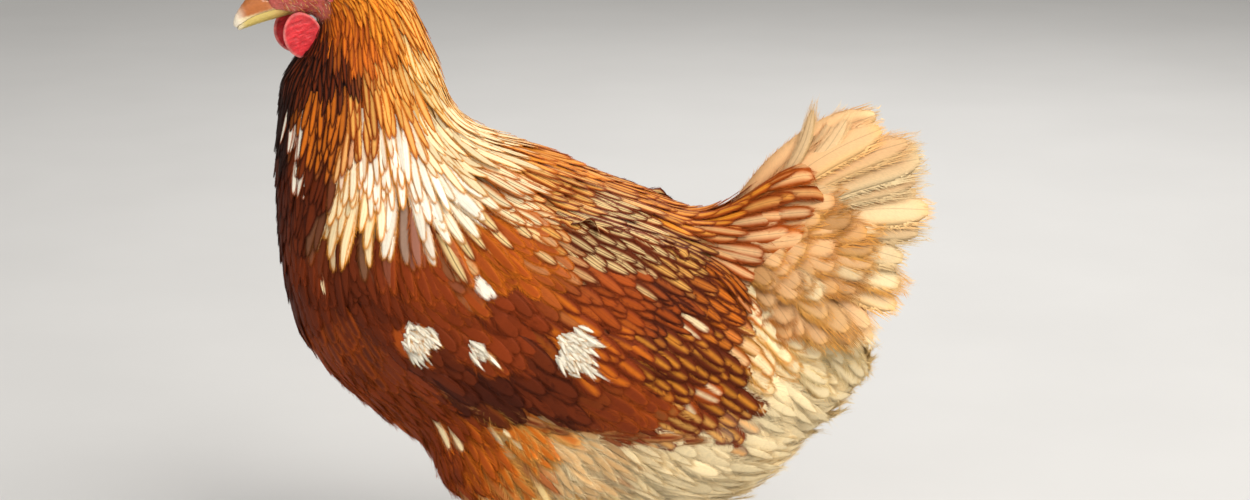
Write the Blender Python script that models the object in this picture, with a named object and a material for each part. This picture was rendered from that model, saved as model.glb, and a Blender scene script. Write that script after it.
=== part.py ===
"""A life-size brown laying hen standing at rest, as a still museum model.

Units are metres, +Z is up, the hen faces -X and its left side is towards -Y.
The body is lofted whole through named sections and parted with thin plane cuts; the wings, thighs,
tail and head pieces are their own solids, each kept GAP away from its neighbours.
The origin is on the floor, below the middle of the whole bird.
"""

import math

import bmesh
import bpy
import numpy as np
from mathutils import Matrix, Vector

MM = 0.001
GAP = 0.3 * MM  # clearance between neighbouring solids
FLAT_ANGLE = math.radians(0.7)  # faces that meet at less than this are joined
MIDDLE_X = 1.9  # the middle of the whole length, in the numbers below; the origin goes under it
LEFT, RIGHT = -1, 1  # the sign of Y on each side of the bird

# Body: sections from the poll, down the neck and back to the vent.
# Each is where the section meets the back line, where it meets the front or belly line, and its half width.
# (back x, back z, belly x, belly z, half width), in millimetres.
BODY_SECTIONS = {
    "poll": (-130, 446, -157, 404, 17),
    "upper neck": (-102, 419, -165, 389, 26),
    "mid neck": (-86, 382, -181, 368, 39),
    "lower neck": (-77, 350, -187, 320, 52),
    "crop": (-64, 337, -188, 270, 62),
    "shoulders": (-38, 328, -177, 210, 70),
    "breast": (-10, 318, -140, 166, 75),
    "keel": (20, 306, -82, 126, 77),
    "loins": (44, 296, -14, 102, 77),
    "saddle": (62, 287, 50, 92, 73),
    "abdomen": (76, 278, 103, 106, 65),
    "vent": (90, 267, 140, 146, 53),
    "rump": (108, 248, 178, 188, 36),
}
BODY_SQUARENESS = 2.25  # superellipse power of a section; 2 is an ellipse
BODY_SIDES, BODY_STEPS = 22, 2

NECK_CUT = ((-62, 0, 338), (0.36, 0, -0.93))  # point (mm) and normal of the cut between neck and breast
BREAST_CUT = ((-28, 0, 240), (0.90, 0, 0.20))  # and between breast and trunk

# Wing, folded against the side: (x, upper z, lower z, distance from the mid plane, thickness), in millimetres.
WING_SECTIONS = {
    "point of the wing": (-148, 262, 240, 52, 7),
    "shoulder": (-132, 288, 214, 62, 14),
    "forearm": (-95, 304, 192, 73, 19),
    "middle": (-50, 304, 178, 79, 20),
    "rear": (0, 298, 167, 81, 18),
    "tertials": (45, 284, 161, 77, 15),
    "tip root": (80, 262, 164, 70, 11),
    "tip": (105, 236, 178, 63, 7),
}
WING_BOW = 10  # how far the middle of a section bulges out past its edges
WING_CUT = ((0, 0, 190), (0.09, 0, 0.996))  # coverts above this plane, flight feathers below

# Tail: the main feathers of one side fan out from their root, overlapping like tiles, highest first.
TAIL_ROOT = (81, 2.5, 264)  # x, distance from the mid plane, z
TAIL_FEATHERS = ((46, 112), (38, 126), (30, 136), (21, 138), (12, 131), (2, 122), (-8, 117), (-19, 117))
TAIL_TIP_DEPTH = 0.09  # how far the edge between two tips lies inside them, as a share of the length
TAIL_TENT = (4, 44)  # distance from the mid plane at the tips of the highest and the lowest feather
TAIL_STEP = 1.2  # each feather lies this far outside the next lower one's edge
TAIL_THICKNESS = 2.4

# Upper tail coverts: (x at the top, z, x at the bottom, z, half width).
COVERT_SECTIONS = {
    "saddle": (60, 283, 84, 214, 34),
    "root": (84, 289, 110, 206, 36),
    "middle": (108, 303, 138, 208, 29),
    "tips": (129, 319, 160, 226, 17),
}

# Legs. The hock is where the feathered thigh ends.
LEG_SPREAD = 44  # distance of each foot from the mid plane
STEP_FORWARD = {LEFT: -7, RIGHT: 7}  # the left foot is a little ahead
THIGH_SECTIONS = {  # (x, distance from the mid plane, z, half length along x, half width)
    "hip": (-12, 43, 190, 68, 30),
    "thigh": (-20, 46, 152, 66, 31),
    "knee": (-27, 46, 123, 53, 28),
    "drumstick": (-20, 46, 102, 27, 19),
    "hock": (-9, 45, 88, 11, 9.5),
}
HOCK = (-8, 86)  # x, z
ANKLE = (-30, 12)
SHANK_RADII = (7.2, 4.9, 6.0)  # at the hock, the middle and the ankle
TOES = {  # name: (angle from straight ahead, positive outwards, length without the claw, radius at the root)
    "inner": (-32, 33, 4.6),
    "middle": (0, 47, 4.9),
    "outer": (32, 36, 4.4),
    "hind": (168, 18, 4.0),
}
TOE_TAPER = 0.68
CLAW_LENGTH, CLAW_RADIUS = 12.5, 2.5
SOLE_SINK = 1.0  # how much of each toe is pressed flat on the floor
TOE_ARCH = 1.6  # how much higher a toe leaves the ball of the foot than it ends
BALL_SIZE, BALL_HEIGHT = (8.5, 7.5, 6.5), 5.0  # half axes, and height of its centre

# Head, in its own frame: origin midway between the eyes, facing -X.
HEAD_AT = (-168, -6, 430)
HEAD_YAW, HEAD_PITCH = 22.0, -15.0  # degrees: turned to the left, bill lowered
HEAD_SECTIONS = {  # (x, crown z, throat z, half width)
    "bill root": (-27, 1.5, -14.5, 6.0),
    "lores": (-17, 8.5, -19.0, 10.2),
    "eyes": (-2, 14.5, -23.0, 15.0),
    "ears": (13, 16.0, -25.0, 16.5),
    "nape": (27, 14.0, -28.0, 16.0),
    "poll": (38, 9.0, -30.0, 13.0),
}
EYE_AT, EYE_RADIUS = (-1, 11.2, 1.0), 5.6
UPPER_BILL_SECTIONS = {  # (x, ridge z, cutting edge z, half width)
    "gape": (-9, -3.0, -13.2, 7.8),
    "nostril": (-22, 1.2, -12.2, 7.0),
    "middle": (-33, -2.0, -12.6, 5.4),
    "hook": (-42, -8.7, -15.0, 3.4),
    "tip": (-45, -13.0, -16.4, 1.5),
}
LOWER_BILL_SECTIONS = {
    "gape": (-9, -12.8, -19.5, 8.0),
    "middle": (-28, -11.8, -18.8, 6.0),
    "front": (-38, -13.6, -18.8, 4.3),
    "tip": (-44, -16.2, -19.0, 2.0),
}
WATTLE_AT, WATTLE_SIZE = (-10, 10.0, -31.5), (11.5, 2.3, 14.0)
EARLOBE_AT, EARLOBE_SIZE = (14, 15.6, -11), (5.2, 2.6, 8.0)
COMB_BASE = ((-27, 0), (-22, 7), (-8, 11), (10, 13), (25, 12), (34, 17))  # x, z along the crown
COMB_POINTS = ((-24, 15), (-15, 28), (-2, 37), (11, 39), (24, 35), (38, 27))  # tips, from the bill back
COMB_NOTCH = 0.50  # depth of the notch between two points, as a share of their height
COMB_HALF_THICKNESS = 2.4

COLOURS = {  # linear base colour and roughness
    "chestnut_plumage": ((0.30, 0.085, 0.022), 0.75),
    "cream_plumage": ((0.70, 0.50, 0.30), 0.8),
    "red_skin": ((0.50, 0.035, 0.035), 0.5),
    "horn": ((0.55, 0.38, 0.18), 0.4),
    "leg_scale": ((0.60, 0.42, 0.17), 0.5),
    "eye": ((0.45, 0.12, 0.02), 0.1),
}


def clear_scene():
    for obj in list(bpy.data.objects):
        bpy.data.objects.remove(obj)


def material(name):
    made = bpy.data.materials.get(name)
    if made is None:
        made = bpy.data.materials.new(name)
        made.use_nodes = True
        colour, roughness = COLOURS[name]
        shader = made.node_tree.nodes["Principled BSDF"]
        shader.inputs["Base Color"].default_value = (*colour, 1)
        shader.inputs["Roughness"].default_value = roughness
        shader.inputs["Metallic"].default_value = 0.0
    return made


def add_object(name, bm, finish, parent=None):
    """Makes a node from a bmesh whose units are millimetres."""
    bmesh.ops.scale(bm, vec=(MM, MM, MM), verts=bm.verts)
    bmesh.ops.recalc_face_normals(bm, faces=bm.faces)
    bmesh.ops.triangulate(bm, faces=bm.faces, quad_method="FIXED")  # so a cutter bends as its solid does
    mesh = bpy.data.meshes.new(name)
    bm.to_mesh(mesh)
    bm.free()
    obj = bpy.data.objects.new(name, mesh)
    hen.objects.link(obj)
    obj.data.materials.append(material(finish))
    obj.parent = parent
    return obj


def bake(obj):
    """Replaces the object's mesh by its evaluated one."""
    bpy.context.view_layer.update()
    graph = bpy.context.evaluated_depsgraph_get()
    mesh = bpy.data.meshes.new_from_object(obj.evaluated_get(graph))
    obj.modifiers.clear()
    obj.data = mesh


def combine(obj, other, operation, keep_other=True):
    modifier = obj.modifiers.new(operation.lower(), "BOOLEAN")
    modifier.operation = operation
    modifier.object = other
    bake(obj)
    if not keep_other:
        bpy.data.objects.remove(other)


def cut_away(obj, make, **shape):
    """Cuts a shape out of obj: make(name, grow=GAP, **shape) builds the cutter."""
    combine(obj, make("cutter", grow=GAP / MM, **shape), "DIFFERENCE", keep_other=False)


def keep_largest(obj):
    """Drops loose scraps that a Boolean left."""
    bm = bmesh.new()
    bm.from_mesh(obj.data)
    left, groups = set(bm.verts), []
    while left:
        group, todo = set(), [left.pop()]
        while todo:
            vert = todo.pop()
            group.add(vert)
            for edge in vert.link_edges:
                other = edge.other_vert(vert)
                if other in left:
                    left.remove(other)
                    todo.append(other)
        groups.append(group)
    groups.sort(key=len)
    scraps = [vert for group in groups[:-1] for vert in group]
    bmesh.ops.delete(bm, geom=scraps, context="VERTS")
    bm.to_mesh(obj.data)
    bm.free()


def part_at(obj, name, plane, finish):
    """Parts obj with a plane: obj keeps the side the normal points to, and a new node gets the other side."""
    point, normal = Vector(plane[0]) * MM, Vector(plane[1]).normalized()
    other = obj.copy()
    other.data = obj.data.copy()
    other.name = name
    hen.objects.link(other)
    other.data.materials.clear()
    other.data.materials.append(material(finish))
    for piece, way in ((obj, 1), (other, -1)):
        bm = bmesh.new()
        bm.from_mesh(piece.data)
        cut = bmesh.ops.bisect_plane(
            bm,
            geom=bm.verts[:] + bm.edges[:] + bm.faces[:],
            plane_co=point + normal * way * GAP / 2,
            plane_no=normal * way,
            clear_inner=True,
        )
        rim = [e for e in cut["geom_cut"] if isinstance(e, bmesh.types.BMEdge)]
        bmesh.ops.holes_fill(bm, edges=rim)
        bmesh.ops.recalc_face_normals(bm, faces=bm.faces)
        bm.to_mesh(piece.data)
        bm.free()
    return other


def smooth_through(rows, steps):
    """Rows of numbers with steps - 1 more between each two, on a Catmull-Rom curve through them."""
    rows = np.array(rows, float)
    padded = np.vstack([2 * rows[0] - rows[1], rows, 2 * rows[-1] - rows[-2]])
    found = []
    for i in range(len(rows) - 1):
        a, b, c, d = padded[i : i + 4]
        for t in np.arange(steps) / steps:
            cubic = 2 * a - 5 * b + 4 * c - d + (3 * b - a - 3 * c + d) * t
            found.append(b + 0.5 * t * (c - a + t * cubic))
    return found + [rows[-1]]


def ring(centre, across, up, sides, power=2.0):
    """Points round a superellipse with the half axes across and up."""
    points = []
    for k in range(sides):
        angle = 2 * math.pi * k / sides
        c, s = math.cos(angle), math.sin(angle)
        a = math.copysign(abs(c) ** (2 / power), c)
        b = math.copysign(abs(s) ** (2 / power), s)
        points.append(Vector(centre) + Vector(across) * a + Vector(up) * b)
    return points


def loft(rings, start, end):
    """A closed bmesh through the rings, with a point beyond the first and the last."""
    bm = bmesh.new()
    loops = [[bm.verts.new(p) for p in points] for points in rings]
    sides = len(loops[0])
    for lower, upper in zip(loops, loops[1:]):
        for k in range(sides):
            n = (k + 1) % sides
            bm.faces.new((lower[k], lower[n], upper[n], upper[k]))
    for loop, pole in ((loops[0], start), (loops[-1], end)):
        apex = bm.verts.new(pole)
        for k in range(sides):
            bm.faces.new((loop[k], loop[(k + 1) % sides], apex))
    return bm


def mid_plane_loft(sections, sides, steps, power, grow, tips, round_steps=3):
    """Lofts sections that stand across the mid plane. tips are how far the first and last end bulge."""
    rows = smooth_through(list(sections.values()), steps)
    frames = []
    for bx, bz, fx, fz, half in rows:
        back, front = Vector((bx, 0, bz)), Vector((fx, 0, fz))
        frames.append(((back + front) / 2, (back - front) / 2, half))
    rings, poles = [], []
    for end, tip in ((0, tips[0]), (-1, tips[1])):
        centre, up, half = frames[end]
        inward = frames[1 if end == 0 else -2][0] - centre
        outward = Vector((up.z, 0, -up.x)).normalized()
        if outward.dot(inward) > 0:
            outward = -outward
        caps = []
        for k in range(1, round_steps):
            angle = 0.5 * math.pi * k / round_steps
            shrink = math.cos(angle)
            at = centre + outward * (tip + grow) * math.sin(angle)
            caps.append((at, up * shrink, half * shrink))
        poles.append(centre + outward * (tip + grow))
        if end == 0:
            frames_start = caps[::-1]
        else:
            frames = frames_start + frames + caps
    for centre, up, half in frames:
        longer = up * ((up.length + grow) / up.length)
        rings.append(ring(centre, (0, half + grow, 0), longer, sides, power))
    return loft(rings, *poles)


def body_solid(name, grow=0.0):
    bm = mid_plane_loft(
        BODY_SECTIONS, BODY_SIDES, BODY_STEPS, BODY_SQUARENESS, grow, (5, 12)
    )
    return add_object(name, bm, "chestnut_plumage")


def wing_solid(name, side, grow=0.0):
    """A bowed blade along the flank: each section is a thin crescent from its upper to its lower edge."""
    rows = smooth_through(list(WING_SECTIONS.values()), 2)
    rings = []
    for x, upper, lower, out, thick in rows:
        middle, half = (upper + lower) / 2, (upper - lower) / 2
        points = []
        for p in ring((0, 0, 0), (0, thick / 2 + grow, 0), (0, 0, half + grow), 14, 2.3):
            lean = 0.10 * p.z  # the blade leans in towards the back
            bow = WING_BOW * (p.z / half) ** 2
            points.append(Vector((x, side * (out + p.y - bow - lean), middle + p.z)))
        rings.append(points)
    first = sum(rings[0], Vector()) / len(rings[0])
    last = sum(rings[-1], Vector()) / len(rings[-1])
    bm = loft(rings, first + Vector((-5 - grow, 0, 0)), last + Vector((9 + grow, 0, 0)))
    return add_object(name, bm, "chestnut_plumage")


def plate(name, inner, outer, finish):
    """A closed plate between two grids of points of the same size."""
    bm = bmesh.new()
    rows, columns = len(inner), len(inner[0])
    grids = [[[bm.verts.new(p) for p in row] for row in grid] for grid in (inner, outer)]
    for grid in grids:
        for i in range(rows - 1):
            for k in range(columns - 1):
                bm.faces.new((grid[i][k], grid[i][k + 1], grid[i + 1][k + 1], grid[i + 1][k]))
    rim = [(0, k) for k in range(columns)] + [(i, columns - 1) for i in range(1, rows)]
    rim += [(rows - 1, k) for k in range(columns - 2, -1, -1)] + [(i, 0) for i in range(rows - 2, 0, -1)]
    for (i, k), (m, n) in zip(rim, rim[1:] + rim[:1]):
        bm.faces.new((grids[0][i][k], grids[0][m][n], grids[1][m][n], grids[1][i][k]))
    return add_object(name, bm, finish)


def tail_solid(name, side):
    """The main tail feathers of one side: a fan whose edge is scalloped by the feather tips."""
    steps, last = 4, len(TAIL_FEATHERS) - 1
    inner, outer = [], []
    for i, (angle, length) in enumerate(TAIL_FEATHERS):
        width = angle - TAIL_FEATHERS[i + 1][0] if i < last else width
        for k in range(steps):
            across = (k / (steps - 1) - 0.5) * 0.96  # from this feather's upper edge to its lower one
            turn = math.radians(angle - across * width)
            reach = length * (1 - TAIL_TIP_DEPTH * (2 * across) ** 2)
            low = (i + 0.5 + across) / (last + 1)
            rows = []
            for share in (0.12, 0.80, 1.0):
                tent = (TAIL_TENT[0] + (TAIL_TENT[1] - TAIL_TENT[0]) * low**0.8) * share
                lap = TAIL_STEP * (across + 0.5) * share
                out = TAIL_ROOT[1] + tent - lap
                x = TAIL_ROOT[0] + reach * share * math.cos(turn)
                z = TAIL_ROOT[2] + reach * share * math.sin(turn)
                rows.append((x, out, z, TAIL_THICKNESS / 2 * (1.2 - 0.7 * share)))
            inner.append([(x, side * (out - half), z) for x, out, z, half in rows])
            outer.append([(x, side * (out + half), z) for x, out, z, half in rows])
    return plate(name, inner, outer, "cream_plumage")


def covert_solid(name, grow=0.0):
    bm = mid_plane_loft(COVERT_SECTIONS, 16, 1, 2.2, grow, (4, 10), 3)
    return add_object(name, bm, "cream_plumage")


def thigh_solid(name, side):
    rings = []
    rows = smooth_through(list(THIGH_SECTIONS.values()), 2)
    for x, out, z, half_x, half_y in rows:
        at = (x + STEP_FORWARD[side], side * out, z)
        rings.append(ring(at, (half_x, 0, 0), (0, half_y, 0), 16))
    top, bottom = rows[0], rows[-1]
    shift = STEP_FORWARD[side]
    bm = loft(
        rings,
        (top[0] + shift, side * top[1], top[2] + 6),
        (bottom[0] + shift, side * bottom[1], bottom[2] - 3),
    )
    return add_object(name, bm, "cream_plumage")


def press_flat(bm, level=0.0):
    """Flattens what lies below the floor."""
    for vert in bm.verts:
        vert.co.z = max(vert.co.z, level)


def tube(points, radii, sides=8):
    """A round bar through the points."""
    points = [Vector(p) for p in points]
    rings = []
    for i, point in enumerate(points):
        along = points[min(i + 1, len(points) - 1)] - points[max(i - 1, 0)]
        across = Vector((-along.y, along.x, 0))
        if across.length < 1e-6 * along.length or abs(along.z) > 3 * across.length:
            across = Vector((0, 1, 0))
        across.normalize()
        up = along.normalized().cross(across).normalized()
        rings.append(ring(point, across * radii[i], up * radii[i], sides))
    start = points[0] - (points[1] - points[0]).normalized() * radii[0] * 0.4
    end = points[-1] + (points[-1] - points[-2]).normalized() * radii[-1] * 0.7
    return loft(rings, start, end)


def foot_centre(side):
    return Vector((ANKLE[0] + STEP_FORWARD[side], side * LEG_SPREAD, 0))


def toe_line(side, toe):
    """Where a toe starts, which way it points, and its length and root radius."""
    angle, length, radius = TOES[toe]
    turn = math.radians(angle)
    way = Vector((-math.cos(turn), side * math.sin(turn), 0))
    return foot_centre(side), way, length, radius


def toe_solid(name, side, toe):
    """A toe with its joints a little thicker than the links between them, pressed flat below."""
    start, way, length, radius = toe_line(side, toe)
    joints = 3 if toe == "middle" else 2
    points, radii = [], []
    for k in range(2 * joints + 1):
        t = k / (2 * joints)
        thick = radius * (1 - (1 - TOE_TAPER) * t) * (1.06 if k % 2 == 0 else 0.92)
        rise = TOE_ARCH * (1 - t) ** 2
        points.append(start + way * length * t + Vector((0, 0, thick - SOLE_SINK + rise)))
        radii.append(thick)
    bm = tube(points, radii, 6)
    press_flat(bm)
    return add_object(name, bm, "leg_scale")


def foot_solid(name, side):
    """The four toes joined at the ball of the foot."""
    centre = foot_centre(side)
    bm = bmesh.new()
    bmesh.ops.create_uvsphere(bm, u_segments=10, v_segments=6, radius=1.0)
    bmesh.ops.scale(bm, vec=BALL_SIZE, verts=bm.verts)
    bmesh.ops.translate(bm, vec=centre + Vector((0, 0, BALL_HEIGHT)), verts=bm.verts)
    press_flat(bm)
    foot = add_object(name, bm, "leg_scale")
    for toe in TOES:
        combine(foot, toe_solid("toe", side, toe), "UNION", keep_other=False)
    return foot


def claw_solid(name, side, toe):
    """A curved, tapering nail beyond the toe's end, resting on its tip."""
    start, way, length, radius = toe_line(side, toe)
    root = radius * TOE_TAPER
    base = start + way * (length + root * 0.8 + CLAW_RADIUS * 0.4 + GAP / MM)
    points, radii = [], []
    for k in range(5):
        t = k / 4
        height = root * 0.9 + 0.8 * math.sin(math.pi * t) - (root * 0.9 - 0.5) * t**1.6
        points.append(base + way * CLAW_LENGTH * t + Vector((0, 0, height)))
        radii.append(CLAW_RADIUS * (1 - 0.82 * t))
    bm = tube(points, radii, 5)
    press_flat(bm, 0.0)
    return add_object(name, bm, "horn")


def shank_solid(name, side, grow=0.0):
    """The scaled leg from the hock down to the ball of the foot."""
    shift, out = STEP_FORWARD[side], side * LEG_SPREAD
    levels = (0.0, 0.12, 0.5, 0.85, 1.0)
    hock, middle, ankle = SHANK_RADII
    radii = (hock, hock * 0.88, middle, middle * 1.08, ankle)
    points = []
    for t in levels:
        x = HOCK[0] + (ANKLE[0] - HOCK[0]) * t + shift
        points.append((x, out, HOCK[1] + (ANKLE[1] - HOCK[1]) * t))
    return add_object(name, tube(points, [r + grow for r in radii], 10), "leg_scale")


def head_frame():
    empty = bpy.data.objects.new("head_frame", None)
    hen.objects.link(empty)
    empty.location = Vector(HEAD_AT) * MM
    empty.rotation_euler = (0, math.radians(HEAD_PITCH), math.radians(HEAD_YAW))
    bpy.context.view_layer.update()
    return empty


def long_sections(sections):
    """Head and bill sections (x, top z, bottom z, half width) as body sections."""
    return {k: (x, top, x, bottom, half) for k, (x, top, bottom, half) in sections.items()}


def skull_solid(name, grow=0.0):
    bm = mid_plane_loft(long_sections(HEAD_SECTIONS), 16, 2, 2.3, grow, (3, 6), 2)
    return add_object(name, bm, "red_skin", head)


def bill_solid(name, sections, grow=0.0):
    bm = mid_plane_loft(long_sections(sections), 10, 2, 2.1, grow, (2, 1.2), 2)
    return add_object(name, bm, "horn", head)


def eye_solid(name, side, grow=0.0):
    bm = bmesh.new()
    bmesh.ops.create_uvsphere(bm, u_segments=12, v_segments=8, radius=EYE_RADIUS + grow)
    x, out, z = EYE_AT
    turn = Matrix.Rotation(math.pi / 2, 3, "X")
    bmesh.ops.rotate(bm, matrix=turn, verts=bm.verts)
    bmesh.ops.translate(bm, vec=(x, side * out, z), verts=bm.verts)
    return add_object(name, bm, "eye", head)


def lobe(name, side, at, size, taper, lean, grow=0.0):
    """A thin hanging lobe of bare skin: a flattened sphere, narrower at its top."""
    bm = bmesh.new()
    bmesh.ops.create_uvsphere(bm, u_segments=12, v_segments=7, radius=1.0)
    half_x, half_y, half_z = (s + grow for s in size)
    for vert in bm.verts:
        high = max(vert.co.z, 0)
        x = vert.co.x * half_x * (1 - taper * high**2)
        z = vert.co.z * half_z
        y = vert.co.y * half_y + lean * (half_z - z) / (2 * half_z)
        vert.co = (at[0] + x, side * (at[1] + y), at[2] + z)
    return add_object(name, bm, "red_skin", head)


def wattle(side):
    return {"side": side, "at": WATTLE_AT, "size": WATTLE_SIZE, "taper": 0.35, "lean": 2.5}


def earlobe(side):
    return {"side": side, "at": EARLOBE_AT, "size": EARLOBE_SIZE, "taper": 0.2, "lean": 1.0}


def comb_solid(name):
    """The single comb: a serrated outline along the crown, thinner towards its points."""
    outline = [(x, z - 9) for x, z in COMB_BASE]
    top = []
    for (ax, az), (bx, bz) in zip(COMB_POINTS, COMB_POINTS[1:]):
        middle = (ax + bx) / 2
        base = float(np.interp(middle, *zip(*COMB_BASE)))
        notch = base + ((az + bz) / 2 - base) * (1 - COMB_NOTCH)
        top += [(ax - 1.6, az - 3.4), (ax - 0.2, az), (ax + 1.7, az - 2.6), (middle, notch)]
    last = COMB_POINTS[-1]
    top += [(last[0] - 1.5, last[1] + 0.5), (last[0] + 1.5, last[1] - 1.5), (38, 20)]
    curve = bpy.data.curves.new(name, "CURVE")
    curve.dimensions = "2D"
    curve.fill_mode = "BOTH"
    curve.extrude = COMB_HALF_THICKNESS * MM
    points = outline + top[::-1]
    spline = curve.splines.new("POLY")
    spline.points.add(len(points) - 1)
    for point, (x, z) in zip(spline.points, points):
        point.co = (x * MM, z * MM, 0, 1)
    spline.use_cyclic_u = True
    flat = bpy.data.objects.new(name, curve)
    hen.objects.link(flat)
    bpy.context.view_layer.update()
    graph = bpy.context.evaluated_depsgraph_get()
    mesh = bpy.data.meshes.new_from_object(flat.evaluated_get(graph))
    bpy.data.objects.remove(flat)
    bm = bmesh.new()
    bm.from_mesh(mesh)
    bmesh.ops.remove_doubles(bm, verts=bm.verts, dist=1e-6)
    bmesh.ops.scale(bm, vec=(1 / MM, 1 / MM, 1 / MM), verts=bm.verts)
    for vert in bm.verts:
        x, z, y = vert.co
        height = max(0.0, (z - 12) / 27)
        wave = 0.9 * math.sin(x / 6.5) * height
        vert.co = (x, y * (1 - 0.55 * height) + wave, z)
    return add_object(name, bm, "red_skin", head)


def make_head():
    skull = skull_solid("head")
    upper = bill_solid("beak_upper", UPPER_BILL_SECTIONS)
    cut_away(skull, bill_solid, sections=UPPER_BILL_SECTIONS)
    bill_solid("beak_lower", LOWER_BILL_SECTIONS)
    cut_away(skull, bill_solid, sections=LOWER_BILL_SECTIONS)
    cut_away(upper, bill_solid, sections=LOWER_BILL_SECTIONS)
    comb = comb_solid("comb")
    cut_away(comb, skull_solid)
    cut_away(comb, body_solid)
    cut_away(comb, bill_solid, sections=UPPER_BILL_SECTIONS)
    keep_largest(comb)
    for side, word in ((LEFT, "left"), (RIGHT, "right")):
        eye_solid(f"eye_{word}", side)
        cut_away(skull, eye_solid, side=side)
        hanging = lobe(f"wattle_{word}", **wattle(side))
        cut_away(hanging, skull_solid)
        cut_away(hanging, bill_solid, sections=LOWER_BILL_SECTIONS)
        keep_largest(hanging)
        lobe(f"earlobe_{word}", **earlobe(side))
        cut_away(skull, lobe, **earlobe(side))
    keep_largest(skull)
    return skull


def make_body(skull):
    """The trunk with the parts that lie against it."""
    trunk = body_solid("trunk")
    cut_away(trunk, covert_solid)
    coverts = covert_solid("tail_coverts")
    for side, word in ((LEFT, "left"), (RIGHT, "right")):
        thigh = thigh_solid(f"thigh_{word}", side)
        cut_away(thigh, body_solid)
        cut_away(trunk, wing_solid, side=side)
        wing = wing_solid(f"wing_{word}", side)
        flights = part_at(wing, f"flights_{word}", WING_CUT, "chestnut_plumage")
        keep_largest(flights)
        tail = tail_solid(f"tail_{word}", side)
        cut_away(tail, body_solid)
        cut_away(tail, covert_solid)
        keep_largest(tail)
        shank_solid(f"shank_{word}", side)
        cut_away(thigh, shank_solid, side=side)
        cut_away(thigh, wing_solid, side=side)
        keep_largest(thigh)
        foot = foot_solid(f"foot_{word}", side)
        cut_away(foot, shank_solid, side=side)
        keep_largest(foot)
        for toe in TOES:
            claw_solid(f"claw_{word}_{toe}", side, toe)
        cut_away(trunk, lobe, **earlobe(side))
        cut_away(trunk, lobe, **wattle(side))
    cut_away(trunk, skull_solid)
    keep_largest(trunk)
    breast = part_at(trunk, "breast", BREAST_CUT, "chestnut_plumage")
    part_at(breast, "neck", NECK_CUT, "chestnut_plumage")
    return trunk, coverts


def merge_flat_faces():
    """Joins the coplanar triangles that cutting left, and triangulates them again."""
    for obj in hen.objects:
        if obj.type != "MESH":
            continue
        bm = bmesh.new()
        bm.from_mesh(obj.data)
        bmesh.ops.dissolve_limit(bm, angle_limit=FLAT_ANGLE, verts=bm.verts, edges=bm.edges)
        bmesh.ops.triangulate(bm, faces=bm.faces)
        bm.to_mesh(obj.data)
        bm.free()


clear_scene()
hen = bpy.data.collections.new("hen")
bpy.context.scene.collection.children.link(hen)
head = head_frame()
make_body(make_head())
merge_flat_faces()
for obj in hen.objects:
    if obj.parent is None:
        obj.location.x -= MIDDLE_X * MM
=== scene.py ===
"""Dresses the life-size brown laying hen: one skin over its flesh, then feathers laid on it tract by tract.

Numbers are millimetres unless a name says otherwise; the hen faces -X and its left side is towards -Y.
"""

import math

import bmesh
import bpy
import numpy as np
from mathutils import Euler, Matrix, Vector
from mathutils.bvhtree import BVHTree
from mathutils.noise import fractal


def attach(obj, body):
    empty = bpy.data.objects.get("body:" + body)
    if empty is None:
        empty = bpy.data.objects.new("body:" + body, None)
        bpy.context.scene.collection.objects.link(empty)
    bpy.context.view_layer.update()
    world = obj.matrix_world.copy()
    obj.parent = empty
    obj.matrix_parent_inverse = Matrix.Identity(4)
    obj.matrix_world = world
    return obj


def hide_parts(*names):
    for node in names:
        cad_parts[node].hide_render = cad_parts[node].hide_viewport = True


MM = 0.001
MIDDLE_X = 1.9  # the solids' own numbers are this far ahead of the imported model's origin
SIDES = {"left": -1, "right": 1}

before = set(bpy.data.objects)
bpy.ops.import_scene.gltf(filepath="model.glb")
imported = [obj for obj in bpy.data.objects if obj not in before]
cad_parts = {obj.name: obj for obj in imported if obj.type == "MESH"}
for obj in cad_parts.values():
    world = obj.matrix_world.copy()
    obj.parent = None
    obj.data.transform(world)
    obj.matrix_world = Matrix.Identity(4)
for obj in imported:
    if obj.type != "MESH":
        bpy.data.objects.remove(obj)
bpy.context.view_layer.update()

# The head's own frame: its origin between the eyes, its bill bowed and turned to the left.
HEAD_AT = (-168 - MIDDLE_X, -6, 430)
HEAD_TURN = (0, math.radians(-15), math.radians(22))
head_frame = Matrix.Translation(HEAD_AT) @ Euler(HEAD_TURN).to_matrix().to_4x4()
HEAD = np.array(head_frame)
HEAD_BACK = np.array(head_frame.inverted())
EYE_X, EYE_SIDE, EYE_Z = -1, 11.2, 1.0  # the middle of an eye, in the head's own frame


# ---------------------------------------------------------------- colours


def linear(hex_colour):
    """A linear RGBA colour from an sRGB hex code."""
    values = [int(hex_colour[i : i + 2], 16) / 255 for i in (1, 3, 5)]
    return [v / 12.92 if v <= 0.04045 else ((v + 0.055) / 1.055) ** 2.4 for v in values] + [1.0]


PIGMENT = {
    # the darkest brown; on the front of the neck it stands partly for painted shade
    "sooty_shade": "#2A0C02",
    "dark": "#4E1A04",
    "bay": "#652506",
    "chestnut": "#7E300A",
    "rust": "#A0460E",
    "orange": "#CC6A14",
    "gold": "#E0902A",
    "honey": "#E6AA54",
    "buff": "#DCB27A",
    "straw": "#EACC8E",
    "peach": "#DCAE7C",
    "tan": "#BE8A52",
    "cream": "#F0DAAC",
    "white": "#F7EFDC",
}
PIGMENT = {name: np.array(linear(code)[:3]) for name, code in PIGMENT.items()}


def linear_row(colour):
    """The linear RGB of a hex code; a row of numbers stays as it is."""
    return np.array(linear(colour)[:3]) if isinstance(colour, str) else colour


def painted(ground, *coats):
    """A tint for each point: the ground colour, then each coat, (colour, how much of it covers), over the last."""
    tint = linear_row(ground)
    for colour, share in coats:
        share = np.clip(share, 0, 1)[:, None]
        tint = tint * (1 - share) + linear_row(colour) * share
    return tint


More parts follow.
